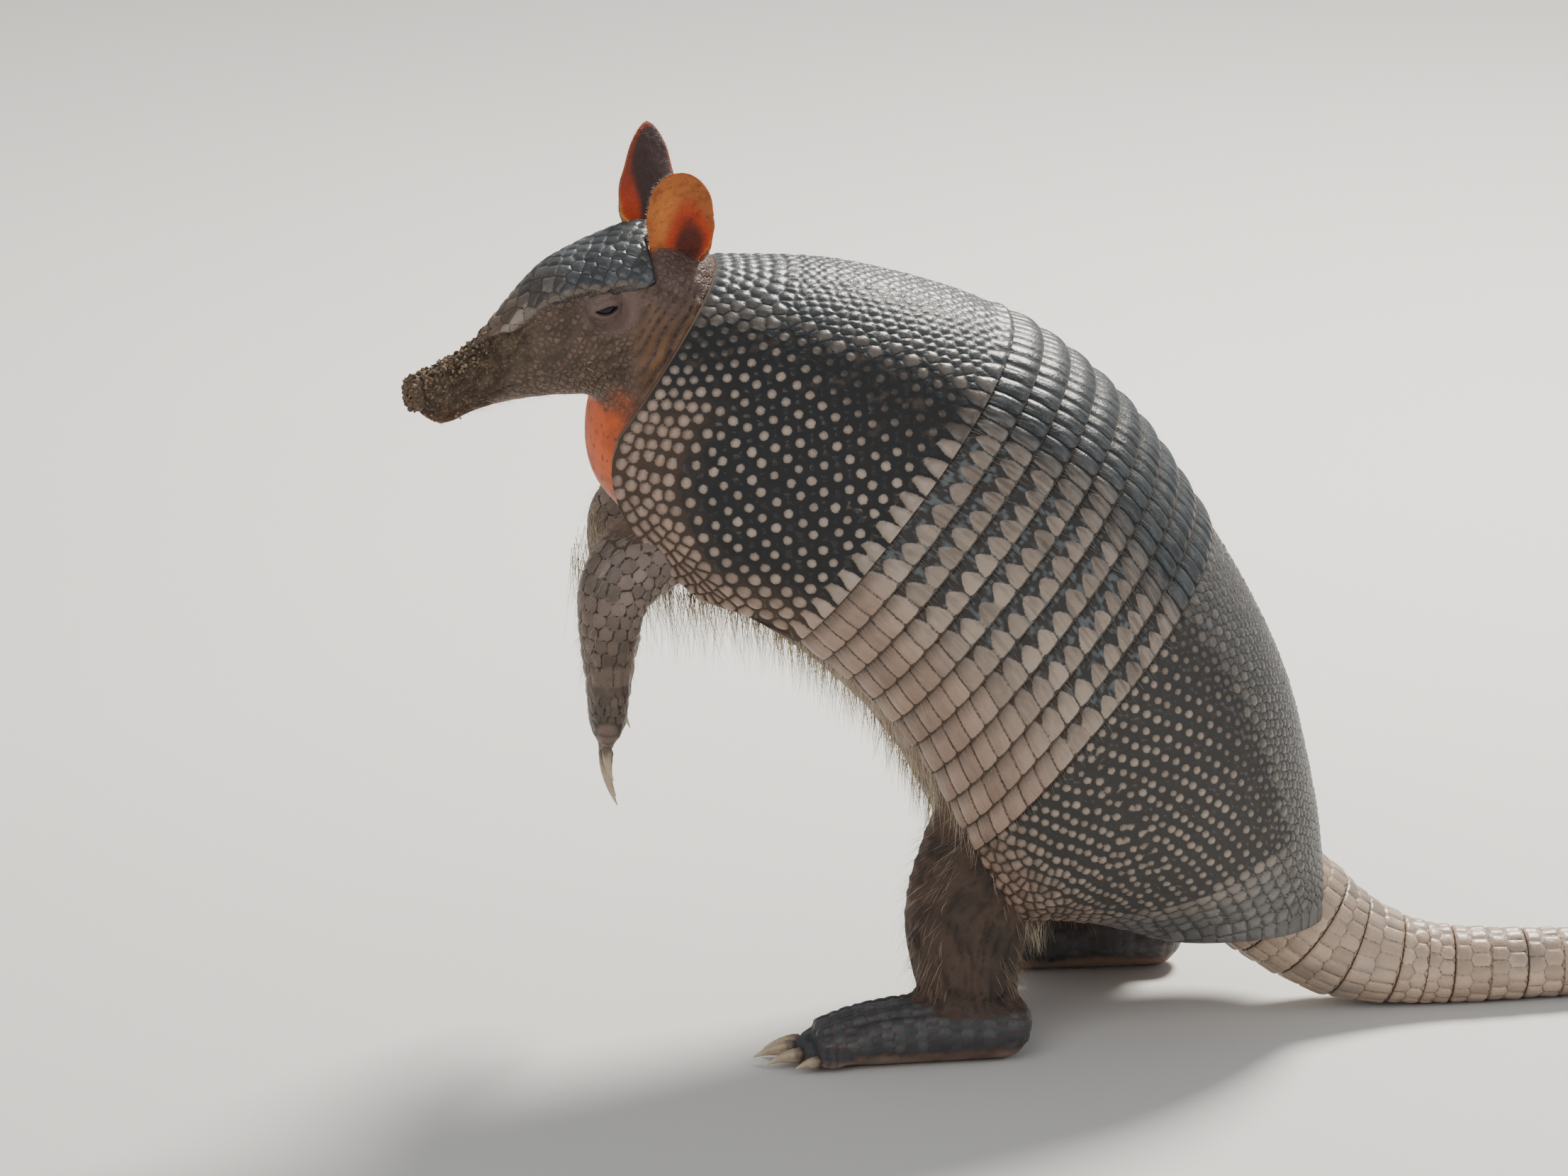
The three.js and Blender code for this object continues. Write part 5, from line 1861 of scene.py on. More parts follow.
def apply_modifiers(obj: Piece) -> None:
    """Replaces a mesh by what its modifiers make of it."""
    graph = bpy.context.evaluated_depsgraph_get()
    graph.update()
    made = bpy.data.meshes.new_from_object(obj.evaluated_get(graph))
    obj.modifiers.clear()
    obj.data = made


def edge_ends(obj: Piece) -> Array:
    """The two vertex numbers of each edge of a mesh."""
    return read(obj.data.edges, "vertices", 2, np.int32)


def refine(obj: Piece, where: Callable[[Array], Array]) -> None:
    """Cuts each edge in two where both its ends are chosen, and the faces with them."""
    chosen = where(read_points(obj))
    mesh = bmesh.new()
    mesh.from_mesh(obj.data)
    mesh.edges.ensure_lookup_table()
    edges = [mesh.edges[number] for number in np.flatnonzero(chosen[edge_ends(obj)].all(1))]
    bmesh.ops.subdivide_edges(mesh, edges=edges, cuts=1, use_grid_fill=True)
    mesh.to_mesh(obj.data)
    mesh.free()
    log.info("refined to %d faces", len(obj.data.polygons))


def relax(obj: Piece, rounds: int, where: Callable[[Array], Array] | None = None) -> None:
    """Smooths a mesh: each vertex moves towards its neighbours' mean, then a little back out.

    Args:
        obj: the mesh object.
        rounds: how often.
        where: chooses the vertices that move, all if left out.
    """
    points = read_points(obj)
    a, b = edge_ends(obj).T
    count = np.maximum(np.bincount(np.concatenate([a, b]), minlength=len(points)), 1)[:, None]
    free = np.ones(len(points)) if where is None else where(points).astype(float)
    for _ in range(rounds):
        for step in (0.62, -0.34):
            total = [
                np.bincount(a, points[b, c], len(points)) + np.bincount(b, points[a, c], len(points))
                for c in range(3)
            ]
            points = points + (np.stack(total, 1) / count - points) * step * free[:, None]
    write_points(obj, points)


# ---- Head shield, tail, eyes, nose and claws


@dataclass
class CrownShield:
    """The horny shield over the crown and the snout's upper side, with irregular scutes."""

    head: HeadForm
    finish: Finish
    rear: float = -5.0
    front: float = 60.0
    side_rear: float = 16.0
    rear_spread: float = 60.0
    front_spread: float = 36.0
    under: float = 0.6
    over: float = 1.75
    pitch_ahead: float = 4.5
    pitch_round: float = 3.5
    slate: Colour = (0.058, 0.063, 0.068)
    pale: Colour = (0.30, 0.245, 0.205)
    brown: Colour = (0.125, 0.088, 0.064)
    seam: Colour = (0.030, 0.026, 0.023)

    def spread(self, ahead: Array) -> Array:
        """How far the shield reaches round the head, in degrees from the crown."""
        t = np.clip((ahead - self.rear) / (self.front - self.rear), 0, 1)
        return self.rear_spread - (self.rear_spread - self.front_spread) * t**1.5

    def seeds(self) -> Array:
        """Scute middles in rows that run along the head, with a strong wobble."""
        found = []
        for k in range(-14, 15):
            ahead = np.arange(self.rear - 4, self.front + 8, self.pitch_ahead)
            ahead = ahead + 0.5 * self.pitch_ahead * (k % 2)
            _, high, wide = self.head.section(np.clip(ahead, *HEAD_ENDS))
            thick = np.clip(0.5 * (high + wide), 11, 25)
            angle = k * self.pitch_round / thick * 57.3 * 0.92
            place = np.stack([ahead - 0.02 * np.abs(angle), angle], 1)
            shift = np.stack([hashed(place, 11), hashed(place, 12)], 1) - 0.5
            found.append((place + shift * [1.7, 4.0])[np.abs(angle) < 80])
        place = np.concatenate(found)
        return self.head.surface(np.clip(place[:, 0], *HEAD_ENDS), place[:, 1])

    def build(self) -> None:
        """Builds the shield: its upper side, its rims and its underside as one closed band."""
        outer, inner, round_ = 230, 14, 150
        way = np.concatenate([np.linspace(0, 1, outer), [1, 1], np.linspace(1, 0, inner), [0, 0]])
        lift = np.concatenate([np.full(outer, 1.0), [0.75, 0.3], np.zeros(inner), [0.3, 0.75]])
        side = np.linspace(-1, 1, round_)[:, None]
        rear = self.rear + self.side_rear * smooth(np.abs(side) * self.rear_spread, 3, 19)
        ahead = rear + (self.front - rear) * way
        wave = noise(np.stack([ahead, np.sign(side) * 30 + 0 * ahead, ahead * 0], -1), 2.9, 3)
        reach = self.spread(ahead) + wave * 4.2 - 1.0
        tip = 1 - 0.75 * smooth(ahead, self.front - 9, self.front) ** 2
        ahead = ahead + 3.0 * smooth(ahead, 40, 60) * (0.5 - side**2)
        angle = side * reach * tip
        high = self.under + (self.over - self.under) * lift - 1.2 * smooth(ahead, 44, 60)
        grid = self.head.surface(ahead, angle, high)
        edge = np.minimum((1 - np.abs(side)) * reach * 0.3, (ahead - rear) * 0.8 + 0.1)
        s, a, edge = (values[:, :outer].ravel() for values in (ahead, np.abs(angle), np.minimum(edge, 3)))
        skin = self.head.surface(s, angle[:, :outer].ravel())
        _, wall, cell = nearest_seeds(skin, self.seeds())
        tone = lot(cell, 2, 6)
        snout = smooth(s + layered(skin, 9, 2) * 6, 34, 50)
        light = (tone > 0.45) * hump(s, 50, 7) * smooth(a, 20, 28)
        brown = np.asarray(self.brown)
        inside = blended(self.slate, brown, snout)
        inside = blended(inside, self.pale, light * 0.9) * (0.6 + 0.65 * tone)[:, None]
        lower = smooth(edge + 0.6 * tone, 2.4, 0.6) * smooth(s, 8, 26)
        inside = blended(inside, brown * 1.15, lower * 0.85)
        between = blended(self.seam, brown * 0.5, snout)
        rim = np.minimum(wall - 0.10, edge - 0.05)
        full = np.clip(rim / 1.25, 0, 1)
        height = (0.46 + 0.16 * tone) * np.sqrt(full) + 0.05 * layered(skin, 1.2, 8) * full
        fall = smooth(edge, 0, 1.0)
        rise = ((height - 0.35) * (0.4 + 0.6 * fall) - 0.7 * (1 - fall)).reshape(round_, outer)
        piece = cut_plate("head_shield_horn", grid, outer, rise, [rim, inside, between], self.seam)
        dress(piece, self.finish, "shell", "head_shield")


@dataclass
class Tail:
    """The tail's ringed lengths: each ring has a row of small scutes and a row of larger ones."""

    finish: Finish
    rows: tuple = (
        (96, 0, 42, 20), (112, 0, 29, 19), (128, 0, 18.4, 16.4), (150, 0.5, 12.1, 12.4),
        (180, 2.5, 10.3, 10.6), (230, 10, 9.0, 9.3), (280, 24, 7.5, 7.8), (330, 42, 5.9, 6.2),
        (372, 54, 4.2, 4.5), (404, 59, 2.7, 3.0), (424, 59, 1.6, 1.9),
    )
    lengths: int = 11
    tip_start: float = 0.74
    ring: float = 11.5
    horn: Colour = (0.42, 0.31, 0.23)
    dark: Colour = (0.20, 0.17, 0.15)
    seam: Colour = (0.085, 0.050, 0.032)

    def point(self, t: Array, angle: Array, lift: Array) -> Array:
        """Points of the tail.

        Args:
            t: place along it, in rows.
            angle: radians round it.
            lift: height over its surface.

        Returns:
            Positions, with one more axis.
        """
        here, _, side, fore = path_frames(self.rows, t)
        turn = side * np.cos(angle)[..., None] - fore * np.sin(angle)[..., None]
        return here[..., :3] + (here[..., 3] + lift)[..., None] * turn

    def length(self, name: str, start: float, stop: float, last: bool) -> Piece:
        """One length of the tail.

        Args:
            name: the piece's name.
            start: where it begins, in rows.
            stop: where it ends.
            last: whether it is the tip, which is smoother and closes in a point.

        Returns:
            The piece.
        """
        table = numbered(self.rows)
        t_all = np.linspace(0, len(table) - 1, 2001)
        run_all = run_along(rows_at(table, t_all)[:, :3])
        first, final = np.interp([start, stop], t_all, run_all)
        rings = max(1, round((final - first) / self.ring))
        pitch = (final - first) / rings
        radius = float(rows_at(table, (start + stop) / 2)[3])
        count = max(6, round(TURN * radius / 4.7))
        round_ = min(220, max(64, int(TURN * radius / 0.5)))
        seeds = []
        for k in range(-1, 2 * rings + 1):
            place = first + pitch * (k // 2) + pitch * (0.7 if k % 2 else 0.22)
            turn = TURN * (np.arange(count) + 0.5 * (k % 2)) / count
            turn = turn + (lot(turn, k + first, 5) - 0.5) * 0.18 * TURN / count
            seeds.append(self.point(np.interp(place, run_all, t_all) + 0 * turn, turn, 0 * turn))
        run = np.linspace(first + 0.1, final - 0.1, int((final - first) / 0.42) + 6)[:, None]
        angle = (TURN * np.arange(round_) / round_)[None]
        run, t, angle = np.broadcast_arrays(run, np.interp(run, run_all, t_all), angle)
        flat = self.point(t, angle, 0 * t)
        _, wall, cell = nearest_seeds(flat.reshape(-1, 3), np.concatenate(seeds))
        wall, tone = wall.reshape(t.shape), lot(cell, first, 8).reshape(t.shape)
        within = (run - first) % pitch
        rim = np.minimum(wall - 0.13, np.minimum(within, pitch - within) - 0.22)
        tall = (0.42 + 0.2 * tone) * (0.4 if last else 1.0) * np.sqrt(np.clip(rim / 1.2, 0, 1))
        lip = 0.35 * smooth(within / pitch, 0.5, 0.93) * (rim > 0)
        ends = np.minimum(smooth(run, first, first + 0.9), 1 - smooth(run, final - 0.7, final))
        height = (tall + lip + 0.05 * layered(flat, 1.3, 6) - 0.35) * (0.3 + 0.7 * ends) - 0.5 * (1 - ends)
        if last:
            height = height - rows_at(table, t)[..., 3] * 0.9 * smooth(t, 9.6, 10) ** 3
        grid = self.point(t, angle, height)
        grid[..., 2] = np.maximum(grid[..., 2], 0.0)
        shade = smooth(0.5 + 0.5 * layered(flat, 15, 4), 0.45, 0.8)
        inside = blended(self.horn, self.dark, shade * 0.7) * (0.75 + 0.4 * tone)[..., None]
        between = np.broadcast_to(np.asarray(self.seam), inside.shape)
        return solid(name, grid, rim=rim, inside=inside, between=between)

    def build(self) -> None:
        """Builds all the lengths."""
        cuts = np.linspace(0, (len(self.rows) - 1) * self.tip_start, self.lengths + 1)
        for k in range(self.lengths):
            piece = self.length(f"tail_{k + 1}_horn", cuts[k], cuts[k + 1], False)
            dress(piece, self.finish, "tail", f"tail_{k + 1}")
        tip = self.length("tail_tip_horn", cuts[-1], len(self.rows) - 1.0, True)
        dress(tip, self.finish, "tail", "tail_tip")


@dataclass
class Eyes:
    """Both eyeballs: spheres with a darker pupil, wet all over."""

    finish: Finish

    def build(self) -> None:
        """Builds the eyeballs, with their poles facing sideways."""
        for side in Side:
            along = np.linspace(0.03, math.pi - 0.03, 40)[:, None]
            round_ = (TURN * np.arange(56) / 56)[None]
            out = EYE_RADIUS * np.cos(along) + 0 * round_
            around = EYE_RADIUS * np.sin(along)
            ahead, left, up = EYE_PLACE
            grid = head_point(
                ahead + around * np.cos(round_), side.value * (left + out), up + around * np.sin(round_)
            )
            name = f"eye_{side.name.lower()}"
            ball = solid(f"{name}_ball", grid, pole=along / math.pi + 0 * round_)
            dress(ball, self.finish, "eye", name)


@dataclass
class Nose:
    """The nose pad: a flattened ball with two nostrils that open forwards and sideways."""

    finish: Finish
    tint: SkinColours
    place: Place = (77.4, 0.0, 199.4)
    radius: float = 5.6
    stretch: Place = (0.72, 0.98, 1.02)

    def build(self) -> None:
        """Builds the pad."""
        polar = np.linspace(0.02, math.pi - 0.02, 90)[:, None]
        turn = (TURN * np.arange(130) / 130)[None]
        ahead, left, up = np.cos(polar) + 0 * turn, np.sin(polar) * np.cos(turn), np.sin(polar) * np.sin(turn)
        way = np.stack([ahead, left, up], -1)
        dent = np.zeros(ahead.shape)
        for hand in (1, -1):
            hole = unit(np.array([0.80, 0.52 * hand, 0.06]))
            off = way - hole
            slant = np.hypot(off[..., 1] * 1.25 + hand * off[..., 2] * 0.35, off[..., 2] * 0.95)
            dent += (1 - smooth(slant, 0.12, 0.30)) * (ahead > 0) * (left * hand > 0)
        flat = way.reshape(-1, 3) * self.radius
        crumbs = layered(flat, 1.2, 71).reshape(ahead.shape)
        groove = hump(left, 0, 0.07) * smooth(ahead, 0.2, 0.6) * 0.35
        radius = self.radius - 0.35 - 1.9 * dent + 0.34 * crumbs * (1 - dent) - groove
        x, y, z = np.moveaxis(way * radius[..., None] * self.stretch + self.place, -1, 0)
        shade = (0.75 + 0.5 * crumbs) * (1 - 0.9 * smooth(dent, 0.1, 0.8))
        colour = blended(self.tint.mud_dry, self.tint.lid, smooth(crumbs, 0.1, 0.5) * 0.5)
        colour = colour * 1.15 * shade[..., None]
        plain = {"rim": 0 * dent - 2, "beads": 0 * dent, "mud": 0 * dent + 0.6}
        pad = solid("nose_pad", head_point(x, y, z), inside=colour, between=colour, **plain)
        dress(pad, self.finish, "nose", "nose")


@dataclass
class Claws:
    """The claws: rings that shrink along an arc, ridged along their length and flat beneath."""

    legs: Legs
    finish: Finish

    def claw(self, root: Array, aim: Array, bend: Array, length: float, radius: float, seed: int) -> Array:
        """Rings of one claw on the left side.

        The middle of the ring at t lies at length times t along the way on, and at 0.28 length
        times t squared along the bend; its half-width falls as 1 - 0.93 t^1.3.
        """
        t = np.linspace(-0.14, 1.0, 34)[:, None]
        turn = (TURN * np.arange(28) / 28)[None]
        over_t = np.maximum(t, 0)
        middle = root + aim * (length * 0.97 * t)[..., None] + bend * (length * 0.28 * over_t**2)[..., None]
        ahead = unit(aim + bend * (0.56 * over_t)[..., None])
        side = unit(np.cross(ahead, bend))
        over = np.cross(side, ahead)
        size = radius * (1 - 0.93 * over_t**1.3) * (1 - 0.25 * smooth(t, -0.02, -0.14))
        ridge = 1 + 0.035 * np.sin(turn * 9 + seed) + 0.02 * np.sin(t * 34 + seed)
        beneath = 1 - 0.22 * smooth(-np.sin(turn), 0.3, 1)
        across = (size * 0.80 * np.cos(turn) * ridge)[..., None]
        upright = (size * 0.98 * np.sin(turn) * ridge * beneath)[..., None]
        return middle + side * across + over * upright

    def build(self) -> None:
        """Builds every claw."""
        for side in Side:
            for fore in (True, False):
                for number, (_, tip, aim, bend, length, radius) in enumerate(self.legs.digits(side, fore), 1):
                    grid = self.claw(tip, aim, bend, length, radius, number + 7 * fore)
                    grid = grid * np.array([1, side.value, 1])
                    if not fore:
                        grid[..., 2] = np.maximum(grid[..., 2], 0.25)
                    along = np.linspace(0, 1, len(grid))[:, None] + 0 * grid[..., 0]
                    node = f"{'fore' if fore else 'hind'}claw_{side.name.lower()}_{number}"
                    dress(solid(f"{node}_horn", grid, along=along), self.finish, "claw", node)


# ---- Hair and mud


@dataclass(frozen=True)
class Draws:
    """Repeatable random numbers for numbered things: each seed gives another set."""

    numbers: Array
    other: Array | float = 0.0

    def __call__(self, seed: int) -> Array:
        """One number from 0 to 1 for each thing."""
        return lot(self.numbers, self.other, seed)

    def hand(self, seed: int) -> Array:
        """1 or -1 for each thing."""
        return np.where(self(seed) > 0.5, 1, -1)

    def wild(self, seed: int) -> Array:
        """Three numbers from -0.5 to 0.5 for each thing."""
        return np.stack([self(seed + i) for i in range(3)], 1) - 0.5


def turn_share(angle: Array) -> Array:
    """Degrees from -180 to 180 as a share of the whole turn."""
    return (angle + 180) / 360


@dataclass
class Hairs:
    """Sparse hairs as thin, tapering, three-sided rods that bend towards a given way.

    A hair's middle at t lies at length times t along its first direction and length times t squared
    along its bend; its radius falls as 1 - 0.85 t. On the bake map each hair is a small square at
    its root's place on the skin's own unwrap.
    """

    rings: int = 5
    spot: float = 0.003

    def add(
        self, sheet: Sheet, roots: Array, way: Array, bend: Array, length: Array, radius: Array, place: Array
    ) -> None:
        """Adds hairs to a sheet.

        Args:
            sheet: where they go.
            roots: N root positions.
            way: N first directions.
            bend: N bends.
            length: N lengths.
            radius: N root radii, or one.
            place: N x 2 places of the roots on the skin's unwrap, from 0 to 1.
        """
        count, rings = len(roots), self.rings
        t = np.linspace(0, 1, rings)[None, :, None]
        middle = roots[:, None] + (way[:, None] * t + bend[:, None] * t**2) * length[:, None, None]
        side = unit(np.cross(way, [0.31, 0.52, 0.8]))
        turn = (TURN * np.arange(3) / 3)[:, None]
        ring = side[:, None] * np.cos(turn) + np.cross(way, side)[:, None] * np.sin(turn)
        size = (radius + 0 * length)[:, None, None, None] * (1 - 0.85 * t[..., None])
        points = (middle[:, :, None] + ring[:, None] * size).reshape(-1, 3)
        corners = quads(rings, 3)
        faces = np.stack([a * 3 + b % 3 for a, b in corners], 1)
        local = np.stack([np.stack([b / 3, a / (rings - 1) * 0.8], 1) for a, b in corners], 1)
        last = rings * 3 - 3
        faces = np.concatenate([faces, [[0, 2, 1, -1], [last, last + 1, last + 2, -1]]])
        tri = np.array([[0.05, 0], [0.9, 0], [0.5, 0.07], [0.5, 0.07]])
        local = np.concatenate([local, [tri + [0, 0.84], tri + [0, 0.92]]])
        along = np.broadcast_to(t, (count, rings, 3)).reshape(-1)
        tone = np.repeat(hashed(roots, 77), rings * 3)
        bake = spots_on_map(place, local, self.spot)
        sheet.add(points, copies(faces, count, rings * 3), bake, along=along, tone=tone)


@dataclass
class Coat:
    """Hair on the belly, at the bands' rear margins, on the legs, the cheeks and the ears' rims."""

    shell: Shell
    flesh: Flesh
    finish: Finish
    hairs: Hairs = field(default_factory=Hairs)

    def belly(self, sheet: Sheet) -> None:
        """Long sparse hairs in rows under the body and along the plates' lower edges."""
        draw = Draws(np.arange(3400))
        run = 22 + 226 * draw(1)
        angle = draw.hand(3) * (136 + 44 * draw(2) ** 1.3)
        roots = self.shell.hide.point(run, angle, -5.4)
        out = unit(roots - self.shell.hide.point(run, angle, -15.0))
        way = unit(out * 0.75 + np.array([0.35, 0, -0.55]) + 0.5 * draw.wild(5))
        bend = np.array([0.12, 0, -0.30]) + 0.25 * draw.wild(5)
        length = (7.5 + 9 * draw(8)) * (0.75 + 0.35 * smooth(run, 90, 50))
        place = np.stack([(run - 22) / 226, turn_share(angle)], 1)
        self.hairs.add(sheet, roots, way, bend, length, 0.085 + 0.04 * draw(9), place)

    def margins(self, sheet: Sheet) -> None:
        """Short fine hairs that come from under each plate's rear margin, several to a scute."""
        shell, hide = self.shell, self.shell.hide
        for k in range(shell.band_count + 1):
            start = shell.shoulder_rear + k * shell.band_pitch
            every = 1.35
            run, angle = hide.row(lambda a, start=start: start + 0 * a, every, 0.3, shell.edge_angle - 0.6)
            draw = Draws(angle, run)
            ahead = unit(hide.point(run + 1, angle) - hide.point(run, angle))
            out = unit(hide.point(run, angle, 3.0) - hide.point(run, angle))
            low = smooth(np.abs(angle), 70, 130)[:, None]
            way = unit(ahead + out * (0.34 + 0.1 * low) + 0.35 * draw.wild(5))
            bend = 0.2 * draw.wild(5) - out * 0.10
            place = np.stack([(run - 85) / 95, turn_share(angle)], 1)
            roots = hide.point(run - 0.5, angle, -0.4)
            self.hairs.add(sheet, roots, way, bend, 3.2 + 3.6 * draw(8), 0.035 + 0.02 * draw(9), place)

    def limbs(self, sheet: Sheet) -> None:
        """Bristles on the thighs' and arms' front and rear sides."""
        legs = self.flesh.legs
        for side in Side:
            hand = np.array([1, side.value, 1])
            leg, arm = (legs.leg(side), 620, 0.3, 8.0), (legs.arm(side), 300, 0.9, 5.5)
            for limb, count, start, size in (leg, arm):
                draw = Draws(np.arange(count), side.value)
                t = start + (3.9 - start) * draw(11)
                angle = np.radians(np.where(draw(13) > 0.28, 0, 180) + 62 * (draw(12) * 2 - 1))
                here, ring, ahead = limb.around(t, angle)
                out = unit(ring) * hand
                way = unit(out * 0.55 + ahead * hand * 0.9 + 0.4 * draw.wild(15))
                bend = 0.2 * draw.wild(15) - out * 0.12
                along = t / 8 + 0.5 * (count < 500)
                place = np.stack([along, 0.5 + side.value * (0.02 + 0.11 * np.abs(angle))], 1)
                roots = (here + ring * 0.97) * hand
                self.hairs.add(sheet, roots, way, bend, size * (0.5 + 0.8 * draw(18)), 0.045, place)

    def face(self, sheet: Sheet) -> None:
        """Short hairs under the jaw, on the cheeks and on the throat, pointing back and down."""
        head = self.flesh.head
        draw = Draws(np.arange(900), 3)
        ahead = 6 + 58 * draw(21)
        angle = draw.hand(22) * (100 + 80 * draw(23) ** 0.8)
        here = head.surface(ahead, angle)
        out = unit(head.surface(ahead, angle, 3.0) - here)
        back = unit(head.surface(ahead - 2, angle) - here)
        way = unit(out * 0.7 + back * 0.8 + 0.5 * draw.wild(25))
        place = np.stack([(ahead - 6) / 58, turn_share(angle)], 1)
        self.hairs.add(sheet, here - 0.5 * out, way, back * 0.1, 1.8 + 2.6 * draw(28) ** 2, 0.032, place)

    def ears(self, sheet: Sheet) -> None:
        """Very short down along the ears' rims."""
        for ear in self.flesh.ears:
            draw = Draws(np.arange(260), ear.ahead)
            t = 0.06 + 0.93 * draw(31)
            q = 0.97 * draw.hand(32)
            roots = ear.leaf(t, q, ear.thickness * 0.5)
            out = unit(roots - ear.leaf(t, q * 0.7, ear.thickness * 0.5) + 1e-6)
            way = unit(out + np.array([0, 0, 0.5]) + 0.7 * draw.wild(35))
            place = np.stack([0.1 + 0.8 * t, 0.5 + 0.4 * q * ear.side.value], 1)
            self.hairs.add(sheet, roots, way, 0.1 * draw.wild(35), 0.7 + 0.9 * draw(38), 0.028, place)

    def build(self) -> None:
        """Builds all the hair."""
        coats = {"belly": self.belly, "band": self.margins, "limb": self.limbs, "face": self.face}
        for name, grow in {**coats, "ear": self.ears}.items():
            sheet = Sheet()
            grow(sheet)
            dress(sheet.build(f"{name}_hair"), self.finish, "ear" if name == "ear" else "skin")


@dataclass
class Mud:
    """Crumbs of earth stuck to the snout: rough knobs of many sizes, thickest on its top."""

    head: HeadForm
    finish: Finish
    count: int = 1500

    def knob(self) -> tuple[Array, Array]:
        """The corners and faces of a ball of twenty triangles, from pole to pole."""
        polar = np.radians([0] + [60] * 5 + [120] * 5 + [180])
        turn = np.radians([0, *range(0, 360, 72), *range(36, 360, 72), 0])
        points = np.stack([np.sin(polar) * np.cos(turn), np.sin(polar) * np.sin(turn), np.cos(polar)], 1)
        k = np.arange(5)
        after = (k + 1) % 5
        cups = [(0 * k, 1 + k, 1 + after), (0 * k + 11, 6 + after, 6 + k)]
        belts = [(1 + k, 6 + k, 1 + after), (1 + after, 6 + k, 6 + after)]
        return points, np.concatenate([np.stack([*three, 0 * k - 1], 1) for three in (*cups, *belts)])

    def build(self) -> None:
        """Builds the crumbs as one piece."""
        draw = Draws(np.arange(self.count))
        ahead = 76.0 - 30 * draw(41) ** 1.5
        angle = (draw(42) - 0.5) * 2 * (30 + 150 * smooth(ahead, 50, 70)) * draw(43) ** 0.45
        size = (0.20 + 0.62 * draw(44) ** 4) * (1 - 0.42 * smooth(np.abs(angle), 35, 80))
        roots = self.head.surface(ahead, angle, 0.15 + size * 0.35)
        turn, reach = (draw(42) - 0.5) * TURN, 0.5 + 0.9 * draw(51)
        aside, upright = np.sin(reach) * np.sin(turn) * 5.4, np.sin(reach) * np.cos(turn) * 5.6
        ball = head_point(77.4 + 3.95 * np.cos(reach), aside, 199.4 + upright)
        roots = np.where((draw(50) > 0.82)[:, None], ball, roots)
        points, faces = self.knob()
        spin = (draw.wild(45) + 0.5)[:, None] * TURN
        corners = len(points)
        grid = np.broadcast_to(points, (self.count, corners, 3)).copy()
        for axis, (a, b) in enumerate([(1, 2), (2, 0), (0, 1)]):
            c, s = np.cos(spin[..., axis]), np.sin(spin[..., axis])
            before, after = grid[..., a].copy(), grid[..., b].copy()
            grid[..., a], grid[..., b] = before * c - after * s, before * s + after * c
        rough = (0.72 + 0.56 * lot(np.arange(self.count * corners), 0, 48)).reshape(self.count, corners, 1)
        points = roots[:, None] + grid * rough * size[:, None, None]
        corner = np.array([[0.1, 0.1], [0.9, 0.1], [0.5, 0.9], [0.5, 0.9]])
        local = (np.indices((5, 4)).reshape(2, 20).T[:, None] + corner) / 5
        place = np.clip(np.stack([(ahead - 44) / 34, turn_share(angle)], 1), 0, 1)
        bake = spots_on_map(place, local, 0.003)
        faces = copies(faces, self.count, corners)
        sheet = Sheet()
        sheet.add(points.reshape(-1, 3), faces, bake, tone=np.repeat(draw(49), corners))
        dress(sheet.build("snout_mud", smooth_faces=False), self.finish, "skin")


# ---- Stage


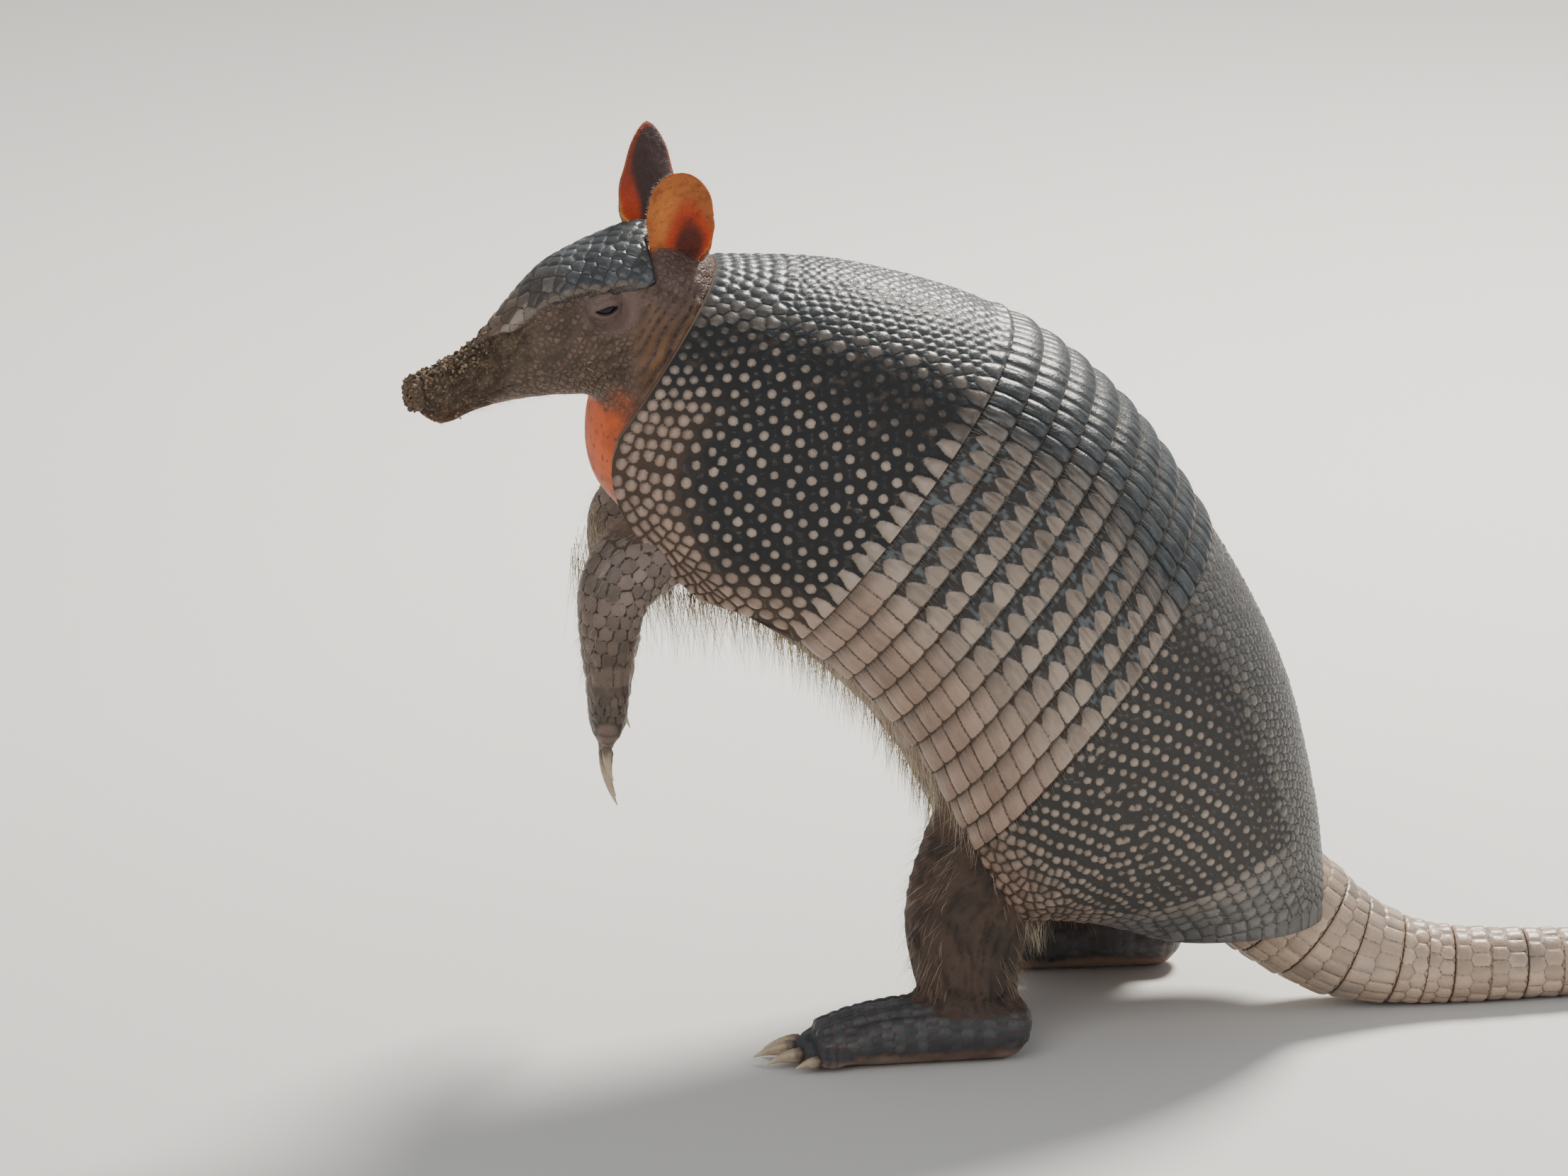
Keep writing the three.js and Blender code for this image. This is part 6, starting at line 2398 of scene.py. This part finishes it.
@dataclass
class Studio:
    """A pale floor, soft lights and the camera."""

    azimuth: float = -4.0
    elevation: float = 16.0
    distance: float = 3.0
    frame_width: float = 471.2
    frame_right: float = -41.3
    frame_up: float = 127.1
    sensor: float = 36.0

    def directions(self) -> tuple[Array, Array, Array]:
        """The image's right, its up, and the way back to the camera."""
        a, e = math.radians(self.azimuth), math.radians(self.elevation)
        right = np.array([math.cos(a), math.sin(a), 0])
        up = np.array([-math.sin(a) * math.sin(e), math.cos(a) * math.sin(e), math.cos(e)])
        return right, up, np.array([math.sin(a) * math.cos(e), -math.cos(a) * math.cos(e), math.sin(e)])

    def camera(self) -> None:
        """The camera, aimed so that the view's middle lies at the chosen place."""
        right, up, back = self.directions()
        middle = right * self.frame_right + up * self.frame_up + SHIFT
        spot = middle * MM + back * self.distance
        data = bpy.data.cameras.new("camera")
        data.sensor_width = self.sensor
        data.lens = self.sensor * self.distance / (self.frame_width * MM)
        data.clip_end = 50
        obj = placed("camera", data)
        obj.matrix_world = Matrix.Translation(Vector(spot)) @ Matrix((right, up, back)).transposed().to_4x4()
        bpy.context.scene.camera = obj

    def light(self, name: str, place: Place, aim: Place, size: float, watts: float, tint: Colour) -> None:
        """An area light at a place, aimed at a point, in metres."""
        data = bpy.data.lights.new(name, "AREA")
        data.shape = "DISK"
        data.size = size
        data.energy = watts
        data.color = tint
        obj = placed(name, data)
        obj.location = place
        way = Vector(aim) - Vector(place)
        obj.rotation_euler = way.to_track_quat("-Z", "Y").to_euler()

    def floor(self) -> None:
        """A large pale square just under the soles."""
        mesh = bpy.data.meshes.new("floor")
        reach, low = 8.0, -0.0004
        ring = [(-reach, -reach, low), (reach, -reach, low), (reach, reach, low), (-reach, reach, low)]
        mesh.from_pydata(ring, [], [(0, 1, 2, 3)])
        board = Board("pale_floor")
        pale = board.mix((0.62, 0.61, 0.59), (0.68, 0.67, 0.65), board.grain(0.4))
        mesh.materials.append(board.finish(Base_Color=pale, Roughness=0.85))
        placed("floor", mesh)

    def build(self) -> None:
        """Builds the stage."""
        self.camera()
        self.floor()
        self.light("key", (0.35, 0.85, 1.25), (-0.05, 0, 0.12), 0.5, 58, (1.0, 0.96, 0.88))
        self.light("front", (-0.9, -1.5, 1.1), (-0.05, 0, 0.12), 1.4, 13, (1.0, 0.98, 0.95))
        self.light("side", (1.4, -0.9, 0.9), (0.0, 0, 0.1), 1.2, 7, (0.95, 0.97, 1.0))
        world = bpy.data.worlds.new("studio")
        world.use_nodes = True
        sky = world.node_tree.nodes["Background"]
        sky.inputs["Color"].default_value = (0.80, 0.83, 0.86, 1)
        sky.inputs["Strength"].default_value = 0.45
        bpy.context.scene.world = world


def main() -> None:
    """Builds the stage and every part of the animal."""
    logging.basicConfig(level=logging.INFO, format="%(message)s")
    Studio().build()
    horn = HornFinish("horn").material()
    skin = SkinFinish().material()
    shell = Shell(horn)
    flesh = Flesh(shell, skin)
    parts = [shell, flesh, CrownShield(flesh.head, horn), Tail(horn), Eyes(EyeFinish().material())]
    parts += [Nose(skin, flesh.tint), Claws(flesh.legs, ClawFinish().material())]
    parts += [Coat(shell, flesh, HairFinish().material()), Mud(flesh.head, MudFinish().material())]
    for part in parts:
        part.build()


if __name__ == "__main__":
    main()
